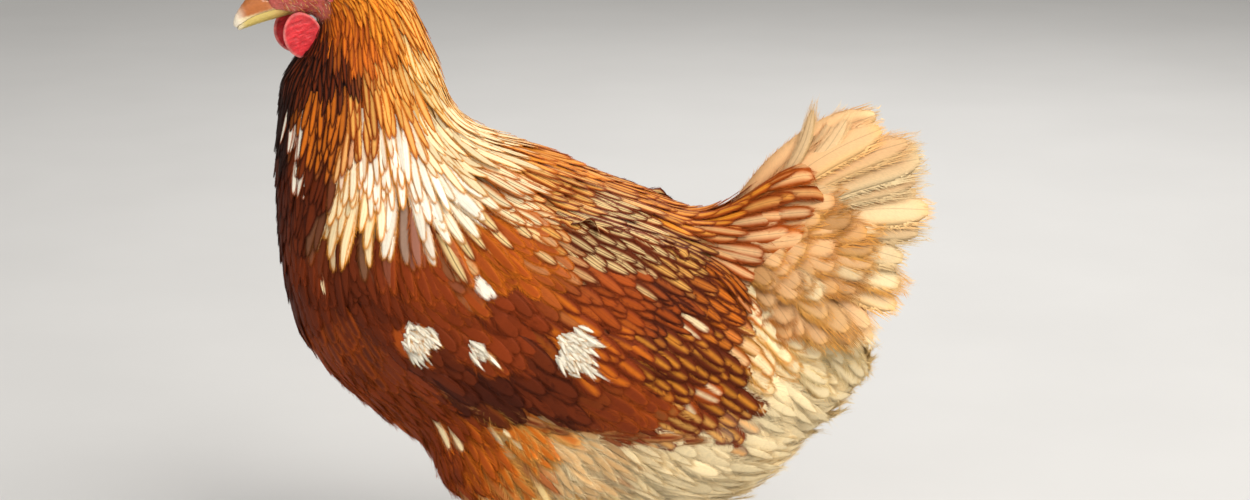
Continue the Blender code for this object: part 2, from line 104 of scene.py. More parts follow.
def smooth_step(low, high, x):
    """0 up to low and 1 from high on, with a soft rise between them."""
    t = np.clip((x - low) / (high - low), 0, 1)
    return t * t * (3 - 2 * t)


# ---------------------------------------------------------------- meshes


def new_object(name, verts_mm, faces, finish):
    """A mesh piece that rides on the hen. verts_mm is an array in the hen's own millimetres."""
    mesh = bpy.data.meshes.new(name)
    verts = np.asarray(verts_mm, np.float32) * MM
    faces = np.asarray(faces, np.int32)
    mesh.vertices.add(len(verts))
    mesh.vertices.foreach_set("co", verts.ravel())
    mesh.loops.add(faces.size)
    mesh.loops.foreach_set("vertex_index", faces.ravel())
    mesh.polygons.add(len(faces))
    mesh.polygons.foreach_set("loop_start", np.arange(len(faces), dtype=np.int32) * faces.shape[1])
    mesh.polygons.foreach_set("use_smooth", np.full(len(faces), True))
    mesh.update(calc_edges=True)
    mesh.materials.append(finish)
    obj = bpy.data.objects.new(name, mesh)
    bpy.context.scene.collection.objects.link(obj)
    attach(obj, "root")
    return obj


def put_vector(mesh, name, values):
    """Three numbers kept with each point of the mesh."""
    layer = mesh.attributes.new(name, "FLOAT_VECTOR", "POINT")
    layer.data.foreach_set("vector", np.asarray(values, np.float32).ravel())


def put_colour(mesh, name, values):
    """A colour kept with each point of the mesh."""
    layer = mesh.attributes.new(name, "FLOAT_COLOR", "POINT")
    full = np.ones((len(values), 4), np.float32)
    full[:, :3] = values
    layer.data.foreach_set("color", full.ravel())


def unit(v):
    """The same directions, each of length 1."""
    return v / np.maximum(np.linalg.norm(v, axis=-1, keepdims=True), 1e-9)


def to_head(points):
    """Points of the hen in the head's own frame."""
    return points @ HEAD_BACK[:3, :3].T + HEAD_BACK[:3, 3]


def from_head(points):
    """Points in the head's own frame, as points of the hen."""
    return np.asarray(points, float) @ HEAD[:3, :3].T + HEAD[:3, 3]


# ---------------------------------------------------------------- skin

FLESH = (
    "head", "neck", "breast", "trunk", "tail_coverts", "wing_left", "wing_right",
    "flights_left", "flights_right", "thigh_left", "thigh_right",
)
VOXEL = 2.3
FACE_GROW = 0.4  # how far the solids are grown at the face before they are joined
BODY_GROW = 4.0  # how much more on the body, whose grooves have to close
WING_GROW = 7.0  # how much more again where the wing meets the back
FACE_FLOOR = 380  # the height above which the bare face lies
FILL_ROUNDS = 5  # how often the grooves that are left are filled
WING_EDGE = 51  # how far from the mid plane the folded wing's top edge lies
CREST = 5.5  # how far that edge is raised


def wing_top(points):
    """1 where the wing meets the back, 0 elsewhere."""
    share = smooth_step(-150, -110, points[:, 0]) * smooth_step(112, 80, points[:, 0])
    return share * smooth_step(25, 45, np.abs(points[:, 1])) * smooth_step(205, 235, points[:, 2])


def grown(points):
    """How far the flesh is grown before it is joined; the skin is drawn in again by as much."""
    return FACE_GROW + (BODY_GROW + WING_GROW * wing_top(points)) * off_face(points)


def flesh_mesh():
    """One closed mesh round all the flesh solids, grown so far that they overlap and the grooves between them close."""
    verts, faces = [], []
    for name in FLESH:
        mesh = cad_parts[name].data
        bm = bmesh.new()
        bm.from_mesh(mesh)
        bmesh.ops.remove_doubles(bm, verts=bm.verts, dist=1e-6)
        bm.normal_update()
        base = len(verts)
        co = np.array([v.co for v in bm.verts]) / MM
        ways = np.array([v.normal for v in bm.verts])
        verts += ((co + ways * grown(co)[:, None]) * MM).tolist()
        faces += [[base + v.index for v in f.verts] for f in bm.faces]
        bm.free()
    mesh = bpy.data.meshes.new("flesh")
    mesh.from_pydata(verts, [], faces)
    obj = bpy.data.objects.new("flesh", mesh)
    bpy.context.scene.collection.objects.link(obj)
    remesh = obj.modifiers.new("one skin", "REMESH")
    remesh.mode = "VOXEL"
    remesh.voxel_size = VOXEL * MM
    bpy.context.view_layer.update()
    whole = bpy.data.meshes.new_from_object(obj.evaluated_get(bpy.context.evaluated_depsgraph_get()))
    bpy.data.objects.remove(obj)
    return whole


def arrays(mesh):
    """The mesh's points in millimetres, and the pairs of points that its edges join."""
    co = np.empty(len(mesh.vertices) * 3, np.float32)
    mesh.vertices.foreach_get("co", co)
    edges = np.empty(len(mesh.edges) * 2, np.int32)
    mesh.edges.foreach_get("vertices", edges)
    return co.reshape(-1, 3).astype(float) / MM, edges.reshape(-1, 2)


def relaxed(co, edges, rounds, share=0.5):
    """Each point moved towards the middle of its neighbours, again and again."""
    count = np.bincount(edges.ravel(), minlength=len(co))[:, None]
    if np.ndim(share) == 1:
        share = share[:, None]
    for _ in range(rounds):
        total = np.zeros_like(co)
        for axis in range(3):
            total[:, axis] = np.bincount(edges[:, 0], co[edges[:, 1], axis], len(co))
            total[:, axis] += np.bincount(edges[:, 1], co[edges[:, 0], axis], len(co))
        co = co + (total / np.maximum(count, 1) - co) * share
    return co


def bare_face(points):
    """How far a point belongs to the bare red face: 1 round the bill and eye, 0 in the feathers."""
    p = to_head(points)
    ahead = smooth_step(17, 9, p[:, 0] + 0.25 * np.abs(p[:, 2] + 3))
    below = smooth_step(-30, -24, p[:, 2] - 0.35 * p[:, 0])
    return ahead * below


def off_face(points):
    """0 on the head, rising to 1 on the body."""
    p = to_head(points)
    return smooth_step(0, 1, np.maximum(p[:, 0] - 10, 0) / 90 + np.maximum(-30 - p[:, 2], 0) / 55)


def coat_depth(points):
    """How thick the feathers lie on the skin at a point."""
    depth = 1.0 + 2.6 * off_face(points)
    low = smooth_step(150, 110, points[:, 2]) * (points[:, 0] > -100)
    depth = depth + 1.5 * low - 2.0 * smooth_step(104, 90, points[:, 2])
    return depth * (1 - bare_face(points)) + 0.3 * bare_face(points)


def facing_of(mesh, co):
    """The way each point of the mesh faces once its points are at co."""
    mesh.vertices.foreach_set("co", (co * MM).astype(np.float32).ravel())
    mesh.update()
    normals = np.empty(len(co) * 3, np.float32)
    mesh.vertices.foreach_get("normal", normals)
    return normals.reshape(-1, 3)


def waves(points, size, seed, detail):
    """Smooth noise from -1 to 1, with bumps about size across."""
    return np.array([fractal(Vector(p) / size + Vector((seed, 0, 0)), 1.0, 2.0, detail) for p in points])


def face_relief(points):
    """The bare face's folds and pimples at points of the head: height in mm and the same as a tone from -1 to 1."""
    p = to_head(points)
    eye = np.hypot(p[:, 0] - EYE_X, p[:, 2] - EYE_Z)
    turn = np.arctan2(p[:, 2] - EYE_Z, p[:, 0] - EYE_X)
    folds = waves(np.stack([eye * 0.9, turn * 5, p[:, 1] * 0.2], axis=1), 2.6, 11.0, 2)
    pimples = waves(points, 1.15, 3.0, 1)
    # the tone that goes with the height is painted light and shade: paler on what is raised, darker in the creases
    return 0.55 * folds + 0.3 * pimples, np.clip(0.6 * folds + 0.5 * pimples, -1, 1)


def on_face(points):
    """The numbers of the points that lie on the bare face."""
    return np.nonzero((bare_face(points) > 0.01) & (points[:, 2] > FACE_FLOOR))[0]


def wrinkled_face(mesh):
    """The same skin with a finer net on the bare face, raised into folds and pimples."""
    bm = bmesh.new()
    bm.from_mesh(mesh)
    middle = np.array([f.calc_center_median() for f in bm.faces]) / MM
    bare = bare_face(middle) * (middle[:, 2] > FACE_FLOOR)
    chosen = {e for f, share in zip(bm.faces, bare) if share > 0.05 for e in f.edges}
    bmesh.ops.subdivide_edges(bm, edges=list(chosen), cuts=3, use_grid_fill=True)
    bm.normal_update()
    co = np.array([v.co for v in bm.verts]) / MM
    near = on_face(co)
    height = face_relief(co[near])[0] * bare_face(co[near])
    bm.verts.ensure_lookup_table()
    for i, rise in zip(near, height):
        vert = bm.verts[i]
        vert.co += vert.normal * float(rise) * MM
    bm.to_mesh(mesh)
    bm.free()
    mesh.update()
    return mesh


def make_skin():
    """The whole skin: the flesh joined, its grooves filled, drawn in by the coat's depth, and wrinkled at the face."""
    mesh = flesh_mesh()
    co, edges = arrays(mesh)
    co = relaxed(co, edges, 6)
    for _ in range(FILL_ROUNDS):
        calm = relaxed(co, edges, 40) - co
        normals = facing_of(mesh, co)
        fill = np.maximum((calm * normals).sum(axis=1), 0) * off_face(co) * smooth_step(98, 125, co[:, 2])
        co = co + normals * fill[:, None]
    # the folded wing's top edge runs into the back without a step
    crest = np.exp(-(((np.abs(co[:, 1]) - WING_EDGE) / 15) ** 2)) * smooth_step(-75, -45, co[:, 0])
    crest *= smooth_step(105, 80, co[:, 0]) * smooth_step(235, 255, co[:, 2])
    co = co + facing_of(mesh, co) * (CREST * crest)[:, None]
    co = co - facing_of(mesh, co) * (coat_depth(co) + grown(co) - FACE_GROW)[:, None]
    co = relaxed(co, edges, 8, 0.2 + 0.3 * off_face(co))
    mesh.vertices.foreach_set("co", (co * MM).astype(np.float32).ravel())
    mesh.update()
    return wrinkled_face(mesh)


skin_mesh = make_skin()


class Surface:
    """The skin as something to lay feathers on."""

    def __init__(self, mesh):
        mesh.calc_loop_triangles()
        self.co = arrays(mesh)[0]
        tris = np.empty(len(mesh.loop_triangles) * 3, np.int32)
        mesh.loop_triangles.foreach_get("vertices", tris)
        self.tris = tris.reshape(-1, 3)
        a, b, c = (self.co[self.tris[:, k]] for k in range(3))
        cross = np.cross(b - a, c - a)
        self.area = np.linalg.norm(cross, axis=1) / 2
        self.facing = unit(cross)
        self.tree = BVHTree.FromPolygons(self.co.tolist(), self.tris.tolist())

    def nearest(self, points):
        """The nearest point on the skin and the way it faces there, for each point."""
        found = [self.tree.find_nearest(p) for p in points]
        where = np.array([f[0] for f in found])
        return where, self.facing[[f[2] for f in found]]

    def shoot(self, starts, way):
        """Where rays meet the skin; a miss gives the nearest point instead."""
        out, facing = [], []
        for start in starts:
            where, _, index, _ = self.tree.ray_cast(Vector(start), Vector(way))
            if where is None:
                where, _, index, _ = self.tree.find_nearest(Vector(start))
            out.append(where)
            facing.append(self.facing[index])
        return np.array(out), np.array(facing)

    def scatter(self, share, spacing, stretch, seed):
        """Random points on the skin, and the way it faces there. share, for each triangle, is 0 where none go.

        Two points are spacing(points) apart or more across the lie, and stretch times that along it."""
        rng = np.random.default_rng(seed)
        centre = self.co[self.tris].mean(axis=1)
        near = spacing(centre)
        weight = self.area * share / near**2 / stretch
        count = int(weight.sum() * 7)
        pick = rng.choice(len(weight), count, p=weight / weight.sum())
        u, v = rng.random(count), rng.random(count)
        flip = u + v > 1
        u, v = np.where(flip, 1 - u, u), np.where(flip, 1 - v, v)
        a, b, c = (self.co[self.tris[pick, k]] for k in range(3))
        points = a + (b - a) * u[:, None] + (c - a) * v[:, None]
        normals = self.facing[pick]
        gap, way = near[pick], lie(points, normals)[0]
        cell = float(gap.max()) * stretch
        grid, kept = {}, []
        for i in range(count):
            p, w, g = points[i], way[i], gap[i]
            key = tuple((p // cell).astype(int))
            close = []
            for dx in (-1, 0, 1):
                for dy in (-1, 0, 1):
                    for dz in (-1, 0, 1):
                        close += grid.get((key[0] + dx, key[1] + dy, key[2] + dz), ())
            if close:
                away = points[close] - p
                along = away @ w
                across = (away**2).sum(axis=1) - along**2
                if (across + (along / stretch) ** 2 < g * g).any():
                    continue
            grid.setdefault(key, []).append(i)
            kept.append(i)
        return points[kept], normals[kept]


skin = Surface(skin_mesh)

# ---------------------------------------------------------------- the lie of the coat

# Guides: where each is (x, distance from the mid plane, z), which way the feathers point there, and their length,
# width, how far their tips stand off as a share of length, and their kind.
LIE = {
    "lores": ((-186, 6, 436), (0.9, 0.2, 0.1), 4.5, 1.3, 0.12, "bristle"),
    "crown": ((-160, 8, 452), (1.0, 0.1, -0.1), 8, 2.2, 0.10, "bristle"),
    "cheek": ((-166, 18, 416), (0.6, 0.3, -0.8), 6.5, 1.7, 0.14, "bristle"),
    "ear": ((-150, 22, 432), (0.8, 0.3, -0.5), 8, 2.2, 0.12, "bristle"),
    "throat": ((-178, 6, 405), (0.3, 0.1, -1.0), 8, 2.2, 0.12, "bristle"),
    "nape": ((-128, 5, 440), (0.6, 0.1, -0.8), 18, 3.6, 0.09, "streak"),
    "neck back": ((-100, 5, 405), (0.35, 0.05, -0.93), 30, 5.0, 0.08, "streak"),
    "neck side": ((-135, 28, 405), (0.05, 0.1, -1.0), 23, 4.0, 0.08, "streak"),
    "neck front": ((-170, 12, 385), (-0.2, 0.0, -1.0), 16, 4.2, 0.10, "streak"),
    "mane back": ((-86, 8, 362), (0.6, 0.05, -0.8), 44, 6.8, 0.08, "streak"),
    "mane side": ((-118, 48, 350), (0.05, 0.1, -1.0), 40, 6.8, 0.08, "lens"),
    "mane fore": ((-150, 42, 350), (-0.15, 0.1, -1.0), 34, 6.4, 0.08, "lens"),
    "mane front": ((-176, 30, 345), (-0.1, 0.05, -1.0), 24, 6.5, 0.09, "lens"),
    "cape back": ((-62, 14, 334), (0.88, 0.15, -0.42), 54, 8.5, 0.07, "lens"),
    "cape shoulder": ((-76, 58, 312), (0.55, 0.15, -0.8), 52, 10.0, 0.07, "lens"),
    "cape side": ((-112, 64, 302), (-0.05, 0.1, -1.0), 50, 10.0, 0.07, "lens"),
    "cape fore": ((-146, 56, 300), (-0.38, 0.05, -1.0), 40, 8.5, 0.07, "lens"),
    "crop": ((-188, 10, 300), (0.0, 0.05, -1.0), 23, 9.5, 0.08, "round"),
    "breast side": ((-160, 52, 245), (0.3, 0.1, -0.92), 25, 10.5, 0.08, "round"),
    "breast": ((-182, 8, 225), (0.3, 0.05, -0.95), 26, 11, 0.08, "round"),
    "breast low": ((-148, 30, 188), (0.6, 0.05, -0.75), 27, 12, 0.09, "soft"),
    "keel": ((-105, 15, 142), (0.85, 0.05, -0.45), 29, 13, 0.10, "soft"),
    "flank": ((-98, 66, 178), (0.75, 0.05, -0.65), 28, 11, 0.09, "soft"),
    "shoulder": ((-50, 50, 306), (0.85, 0.25, -0.6), 23, 8.5, 0.10, "lens"),
    "back": ((-20, 10, 318), (0.96, 0.05, -0.25), 27, 9.5, 0.06, "round"),
    "loin": ((20, 40, 296), (0.93, 0.15, -0.32), 27, 9.0, 0.10, "lens"),
    "saddle": ((58, 12, 287), (0.96, 0.03, -0.15), 34, 9.0, 0.09, "lens"),
    "saddle side": ((62, 48, 255), (0.85, 0.1, -0.45), 31, 9.5, 0.10, "lens"),
    "wing point": ((-142, 60, 262), (0.6, 0.1, -0.8), 20, 10, 0.05, "round"),
    "wing bow": ((-95, 80, 268), (0.72, 0.1, -0.7), 26, 12, 0.05, "round"),
    "wing middle": ((-45, 88, 240), (0.78, 0.1, -0.62), 32, 15, 0.05, "round"),
    "wing top": ((-22, 75, 288), (0.85, 0.25, -0.5), 24, 9.0, 0.10, "lens"),
    "wing top rear": ((30, 74, 262), (0.88, 0.2, -0.45), 27, 10, 0.10, "lens"),
    "wing rear": ((55, 80, 225), (0.84, 0.05, -0.52), 27, 12.5, 0.09, "round"),
    "wing low front": ((-92, 82, 205), (0.74, 0.05, -0.66), 33, 15, 0.05, "round"),
    "wing low": ((-30, 88, 195), (0.76, 0.05, -0.64), 38, 17, 0.05, "round"),
    "wing low rear": ((68, 76, 182), (0.74, 0.0, -0.66), 27, 13.5, 0.08, "round"),
    "rump": ((80, 8, 283), (0.93, 0.05, 0.25), 34, 13, 0.09, "broad"),
    "tail covert side": ((108, 32, 262), (0.95, 0.05, 0.15), 42, 17, 0.09, "broad"),
    "tail covert low": ((112, 36, 225), (0.9, 0.05, -0.45), 42, 18, 0.10, "broad"),
    "under tail": ((150, 22, 210), (0.8, 0.05, -0.6), 34, 15, 0.1, "soft"),
    "vent side": ((122, 45, 178), (0.85, 0.05, -0.5), 42, 16, 0.2, "fluff"),
    "vent": ((130, 0, 145), (0.88, 0.0, -0.45), 42, 16, 0.22, "fluff"),
    "belly rear": ((95, 40, 125), (0.9, 0.05, -0.38), 38, 14, 0.17, "fluff"),
    "belly": ((0, 10, 100), (0.95, 0.0, -0.3), 32, 14, 0.13, "fluff"),
    "thigh": ((-40, 74, 160), (0.55, 0.05, -0.8), 28, 12, 0.11, "fluff"),
    "thigh rear": ((5, 70, 145), (0.75, 0.05, -0.62), 30, 12, 0.12, "fluff"),
    "thigh front": ((-82, 60, 150), (0.5, 0.05, -0.85), 26, 11, 0.10, "soft"),
    "drumstick": ((-25, 60, 105), (0.15, 0.0, -1.0), 20, 8, 0.10, "fluff"),
    "hock": ((-11, 50, 90), (0.0, 0.0, -1.0), 11, 4.0, 0.05, "fluff"),
}
LIE_AT = np.array([row[0] for row in LIE.values()], float)
LIE_WAY = unit(np.array([row[1] for row in LIE.values()], float))
LIE_SIZE = np.array([row[2:5] for row in LIE.values()], float)
LIE_KIND = [row[5] for row in LIE.values()]
LIE_CORE = 30.0  # square mm: within this of a guide its own values hold


def mirrored(points):
    """The same points all on one side, and which side each came from."""
    side = np.where(points[:, 1] < 0, -1.0, 1.0)
    return np.stack([points[:, 0], points[:, 1] * side, points[:, 2]], axis=1), side


def lie(points, normals=None):
    """The way feathers point at each point of the skin, and (length, width, lift) there."""
    folded, side = mirrored(points)
    weight = 1 / (((folded[:, None, :] - LIE_AT[None]) ** 2).sum(axis=2) + LIE_CORE) ** 1.8
    weight /= weight.sum(axis=1, keepdims=True)
    way = weight @ LIE_WAY
    way[:, 1] *= side
    if normals is not None:
        way = way - normals * (way * normals).sum(axis=1, keepdims=True)
    return unit(way), weight @ LIE_SIZE


def kind_of_feather(points, rng):
    """The kind each feather is: that of a guide near it, less strictly the nearer two guides are to a draw."""
    folded, _ = mirrored(points)
    away = ((folded[:, None, :] - LIE_AT[None]) ** 2).sum(axis=2)
    near = (np.log(away + LIE_CORE) + 0.25 * rng.normal(size=away.shape)).argmin(axis=1)
    return [LIE_KIND[i] for i in near]


# ---------------------------------------------------------------- feathers

STATIONS = 5  # points along each feather's spine


# The outlines of feathers, from pointed to blunt: the half width at a share s of the length, as a share of the widest.
def tip_pointed(s):
    stations = [0, 0.1, 0.3, 0.55, 0.75, 0.88, 0.96, 1.0]
    return np.interp(s, stations, [0.3, 0.55, 0.88, 1.0, 0.86, 0.58, 0.3, 0.06])


def tip_lens(s):
    body = np.interp(s, [0, 0.15, 0.4, 0.6], [0.3, 0.66, 0.94, 1.0])
    return np.where(s > 0.6, np.clip(1 - ((s - 0.6) / 0.405) ** 2, 0, 1) ** 0.75, body)


def tip_round(s):
    body = np.interp(s, [0, 0.15, 0.45, 0.66], [0.3, 0.7, 0.96, 1.0])
    return np.where(s > 0.66, np.sqrt(np.clip(1 - ((s - 0.66) / 0.345) ** 2, 0, 1)), body)


def tip_blunt(s):
    body = np.interp(s, [0, 0.1, 0.4, 0.74], [0.25, 0.6, 0.9, 1.0])
    return np.where(s > 0.74, np.clip(1 - (np.maximum(s - 0.74, 0) / 0.262) ** 2.2, 0, 1) ** 0.5, body)


def vane(outline, barbs, slim, down, seed, start=0.25, rows=8, splits=1, fray=0.0):
    """One feather: a thin closed web along the shaft, fringed with the free ends of its barbs.

    barbs is how many free ones each side has, from start on, and slim is width / length. down is 0 for a sleek
    feather and 1 for one that is all loose barbs. splits is how many gaps each side of the web has, and fray the
    share of the length where the end is all loose barbs. Returns vertices (along 0-1, across -1..1, height in half
    widths), triangles, and for each vertex a tone and how near the rim it is (0-1)."""
    rng = np.random.default_rng(seed)
    verts, faces, tones = [], [], []

    def half_at(s):
        return float(outline(np.array(s)))

    def add(points, triangles, tone):
        base = len(verts)
        verts.extend(points)
        tones.extend([tone] * len(points))
        faces.extend(tuple(base + i for i in triangle) for triangle in triangles)

    web = 0.93 - 0.7 * down
    web_end = 1 - 0.7 * fray
    for s in web_end * (1 - 0.97 * (1 - np.linspace(0, 1, rows)) ** 1.5):
        half = web * half_at(min(s / web_end, 0.992))
        top = [(s, -half, 0), (s, -half / 2, 0.02), (s, 0, 0.035), (s, half / 2, 0.02), (s, half, 0)]
        add(top + [(s, 0, -0.06)], [], 0.5)
    for r in range(rows - 1):
        for i in range(6):
            a, b = 6 * r + i, 6 * r + (i + 1) % 6
            faces += [(a, b, b + 6), (a, b + 6, a + 6)]

    # the free barbs of each side, with the gaps where the web is torn
    pitch = (0.99 - start) / barbs
    lean = math.radians(26 - 10 * down)
    loose_barb = down > 0.3
    for side in (-1, 1):
        torn = rng.random(splits) * (0.85 - start) + start + 0.1
        for k in range(barbs):
            s0 = start + pitch * (k + rng.random())
            rim = half_at(min(s0, 0.985))
            inside = web * rim * (0.88 - 0.5 * down)
            sweep = (rim - inside) * 0.5 * slim / math.tan(lean) * (1 + 0.25 * rng.normal())
            s1 = min(s0 + sweep, 1.0 + (0.02 + 0.06 * down) * rng.random() + 0.5 * (rim - inside) * slim)
            edge = half_at(min(s1, 0.985)) * (1 + (0.05 + 0.16 * down) * rng.normal())
            for place in torn:
                s1 += 1.5 * pitch * np.sign(s0 - place) * math.exp(-(((s0 - place) / (3 * pitch)) ** 2))
            curl = (0.03 + 0.22 * down) * rng.normal()
            tone = rng.random()
            wide = pitch * (1.6 - 0.9 * down) / 2
            points = []
            for t, share in ((0.0, 1.0), (0.55, 0.7)) if loose_barb else ((0.0, 1.0),):
                s = s0 + (s1 - s0) * t
                c = side * (inside + (edge - inside) * t**0.8)
                high = curl * t * t
                points += [(s - wide * share, c, 0.01 + high), (s + wide * share, c, 0.015 + high)]
            points.append((s1, side * edge, 0.01 + curl))
            fan = [(0, 1, 3), (0, 3, 2), (2, 3, 4)] if loose_barb else [(0, 1, 2)]
            add(points, [triangle[::side] for triangle in fan], tone)

    # the loose barbs of the end
    loose = int(700 * fray)
    for k in range(loose):
        c0 = 1.9 * (k + rng.random()) / loose - 0.95
        s0 = web_end * (1 - 0.26 * (1 - (1 - c0**2) ** 0.45)) - fray * (0.3 + 0.5 * rng.random())
        half = web * half_at(s0)
        s1 = 1 - 0.7 * fray * c0**2 + 0.16 * fray * rng.normal()
        wide = 1.5 / loose * (1 + 0.5 * rng.random())
        c1 = c0 * (1.02 + 0.04 * rng.normal()) + 0.05 * rng.normal()
        tip = (s1, c1 * half, 0.06 * rng.normal())
        add([(s0, (c0 - wide) * half, 0.0), (s0, (c0 + wide) * half, 0.01), tip], [(0, 1, 2)], rng.random())
    verts = np.array(verts)
    rim = np.abs(verts[:, 1]) / np.maximum(outline(np.clip(verts[:, 0], 0, 0.985)), 0.05)
    return verts, np.array(faces), np.array(tones), np.clip(rim, 0, 1.1)


def spline_weights(s, count=STATIONS):
    """For each s in 0-1, how much of each station makes the point on a Catmull-Rom curve through them."""
    x = np.clip(s, 0, 1.15) * (count - 1)
    i = np.clip(np.floor(x).astype(int), 0, count - 2)
    t = x - i
    basis = np.stack([
        0.5 * (-t + 2 * t**2 - t**3), 0.5 * (2 - 5 * t**2 + 3 * t**3),
        0.5 * (t + 4 * t**2 - 3 * t**3), 0.5 * (-(t**2) + t**3),
    ], axis=1)
    weights = np.zeros((len(s), count))
    for k, offset in enumerate((-1, 0, 1, 2)):
        at = i + offset
        low, high = at < 0, at > count - 1
        inside = ~(low | high)
        rows = np.arange(len(s))
        weights[rows[inside], at[inside]] += basis[inside, k]
        weights[rows[low], 0] += 2 * basis[low, k]
        weights[rows[low], 1] -= basis[low, k]
        weights[rows[high], count - 1] += 2 * basis[high, k]
        weights[rows[high], count - 2] -= basis[high, k]
    return weights


def lay_on_skin(roots, normals, way, length, hug, follow=0.25):
    """Spines that creep over the skin from their roots. Returns stations (n, 5, 3) and the skin's facing there."""
    path, facing = [roots], [normals]
    at, heading = roots, way
    step = (length / (STATIONS - 1))[:, None]
    for _ in range(STATIONS - 1):
        ahead = at + heading * step
        near, out = skin.nearest(ahead)
        high = ((ahead - near) * out).sum(axis=1, keepdims=True)
        ahead = ahead - out * np.where(high > 0, high * hug, high)
        heading = unit(ahead - at)
        if follow:
            heading = unit(heading * (1 - follow) + lie(ahead, out)[0] * follow)
        at = ahead
        path.append(at)
        facing.append(unit(out + 0.5 * facing[-1]))
    return np.stack(path, axis=1), np.stack(facing, axis=1)


# The line along the body's middle, from the bill over neck and trunk to the tail: x and z.
BODY_LINE = (
    (-210, 410), (-172, 430), (-140, 432), (-125, 390), (-120, 340), (-95, 280), (-30, 235), (50, 205), (120, 215),
    (210, 270),
)


def unwrap(points):
    """The skin's own unwrap: how far along the body from the bill, and how far round it from the back."""
    line = np.array(BODY_LINE, float)
    lengths = np.concatenate([[0], np.cumsum(np.linalg.norm(np.diff(line, axis=0), axis=1))])
    flat = points[:, [0, 2]]
    best, along, side_of = np.full(len(points), np.inf), np.zeros(len(points)), np.zeros(len(points))
    for a, b, start in zip(line, line[1:], lengths):
        way = (b - a) / np.linalg.norm(b - a)
        reach = np.clip((flat - a) @ way, 0, np.linalg.norm(b - a))
        rest = flat - a - reach[:, None] * way
        away = (rest**2).sum(axis=1)
        nearer = away < best
        best = np.where(nearer, away, best)
        along = np.where(nearer, start + reach, along)
        side_of = np.where(nearer, rest @ np.array([-way[1], way[0]]), side_of)
    turn = np.arctan2(points[:, 1], side_of)
    return np.stack([along / lengths[-1], turn / (2 * math.pi) + 0.5], axis=1)


TUFT_PATCH = 0.003  # how wide each feather's patch is on its baking map


def each(*values):
    """The values side by side, each spread over all feathers and all their points."""
    return np.stack(np.broadcast_arrays(*values), axis=-1)


def tract(name, spines, facing, width, kinds, inner, outer, finish, seed, *, lift, root, wander,
          reach=0.6, camber=0.12, roll=5.0, shaft=0.0, roots=None, skew=0.0):
    """One piece of coat. spines and facing are (n, 5, 3); kinds names each feather's kind, or is one name for all.

    inner and outer are colours beside the shaft and at the edge, and reach is where, across the vane, the inner one
    ends. camber is how far the vane's sides droop, and lift how far tips stand off, as a share of length. root is how
    far a feather starts off the skin. wander and roll are the degrees by which feathers turn aside and about their
    shafts. shaft is how dark the shaft shows. roots are the colours of the hidden end, if it has its own, and skew is
    how much less of the edge colour the upper side of a vane has."""
    rng = np.random.default_rng(seed)
    n = len(spines)
    width, reach, lift, camber, shaft = (
        np.broadcast_to(np.asarray(value, float), (n,)).copy() for value in (width, reach, lift, camber, shaft)
    )
    width *= 1 + 0.08 * rng.normal(size=n)
    length = np.linalg.norm(np.diff(spines, axis=1), axis=2).sum(axis=1)
    along = unit(np.gradient(spines, axis=1))
    across = unit(np.cross(facing, along))
    up = unit(np.cross(along, across))
    turn = np.radians(wander) * rng.normal(size=n)
    tilt = np.radians(roll) * rng.normal(size=n)
    share = np.linspace(0, 1, STATIONS)[None, :, None]
    spines = spines + across * share * (np.tan(turn) * length * 0.7)[:, None, None]
    up = unit(up + across * np.tan(tilt)[:, None, None])
    across = unit(np.cross(up, along))
    rise = (lift * (1 + 0.25 * rng.normal(size=n)) * length)[:, None, None] * share**1.3
    spines = spines + up * (root + rise)
    lots = rng.random((n, 3))
    names = [kinds] * n if isinstance(kinds, str) else kinds
    which = np.array([VANE_START[kind] + int(lot * len(VANES[kind])) for kind, lot in zip(names, lots[:, 2])])
    chart = unwrap(spines[:, 0])
    low, high = chart.min(axis=0), chart.max(axis=0)
    chart = 0.02 + 0.96 * (chart - low) / np.maximum(high - low, 1e-6)
    under = inner if roots is None else roots
    parts, base = [], 0
    for k, (verts, faces, tones, rim) in enumerate(sum(VANES.values(), [])):
        mine = np.nonzero(which == k)[0]
        if not len(mine):
            continue
        s, c, h = verts.T
        weights = spline_weights(s)
        mid, side, high_way = (np.einsum("vk,nkj->nvj", weights, rows[mine]) for rows in (spines, across, up))
        half = (width[mine] / 2)[:, None]
        drop = h[None] * half - camber[mine][:, None] * (c**2)[None] * half
        upper = np.where(side[:, :, 2] * c[None] > 0, 1 - skew, 1.0)
        hidden = smooth_step(0.8, 0.25, s + 0.25 * (tones - 0.5))[None, :, None] * (roots is not None)
        patch = np.clip(each(c * 0.5, s - 0.5) * TUFT_PATCH, -TUFT_PATCH / 2, TUFT_PATCH / 2)
        parts.append({
            "co": mid + side * (c[None] * half)[..., None] + high_way * drop[..., None],
            "faces": faces[None] + (base + np.arange(len(mine)) * len(s))[:, None, None],
            "vane": each(rim * upper, s, reach[mine][:, None]),
            "lot": each(lots[mine, :1], tones, shaft[mine][:, None]),
            "inner_colour": inner[mine][:, None] * (1 - hidden) + under[mine][:, None] * hidden,
            "outer_colour": np.repeat(outer[mine][:, None], len(s), axis=1),
            "OFBake": chart[mine][:, None, :] + patch,
            "vane_mm": each(c * half, s * length[mine][:, None]),
        })
        base += len(mine) * len(s)
    whole = {
        key: np.concatenate([part[key].reshape(-1, part[key].shape[-1]) for part in parts]) for key in parts[0]
    }
    obj = new_object(name, whole["co"], whole["faces"], finish)
    for layer_name in ("vane", "lot"):
        put_vector(obj.data, layer_name, whole[layer_name])
    for layer_name in ("inner_colour", "outer_colour"):
        put_colour(obj.data, layer_name, whole[layer_name])
    for layer_name in ("OFBake", "vane_mm"):
        layer = obj.data.uv_layers.new(name=layer_name)
        layer.data.foreach_set("uv", whole[layer_name][whole["faces"].ravel()].astype(np.float32).ravel())
    obj.data.uv_layers["OFBake"].active_render = True
    return obj


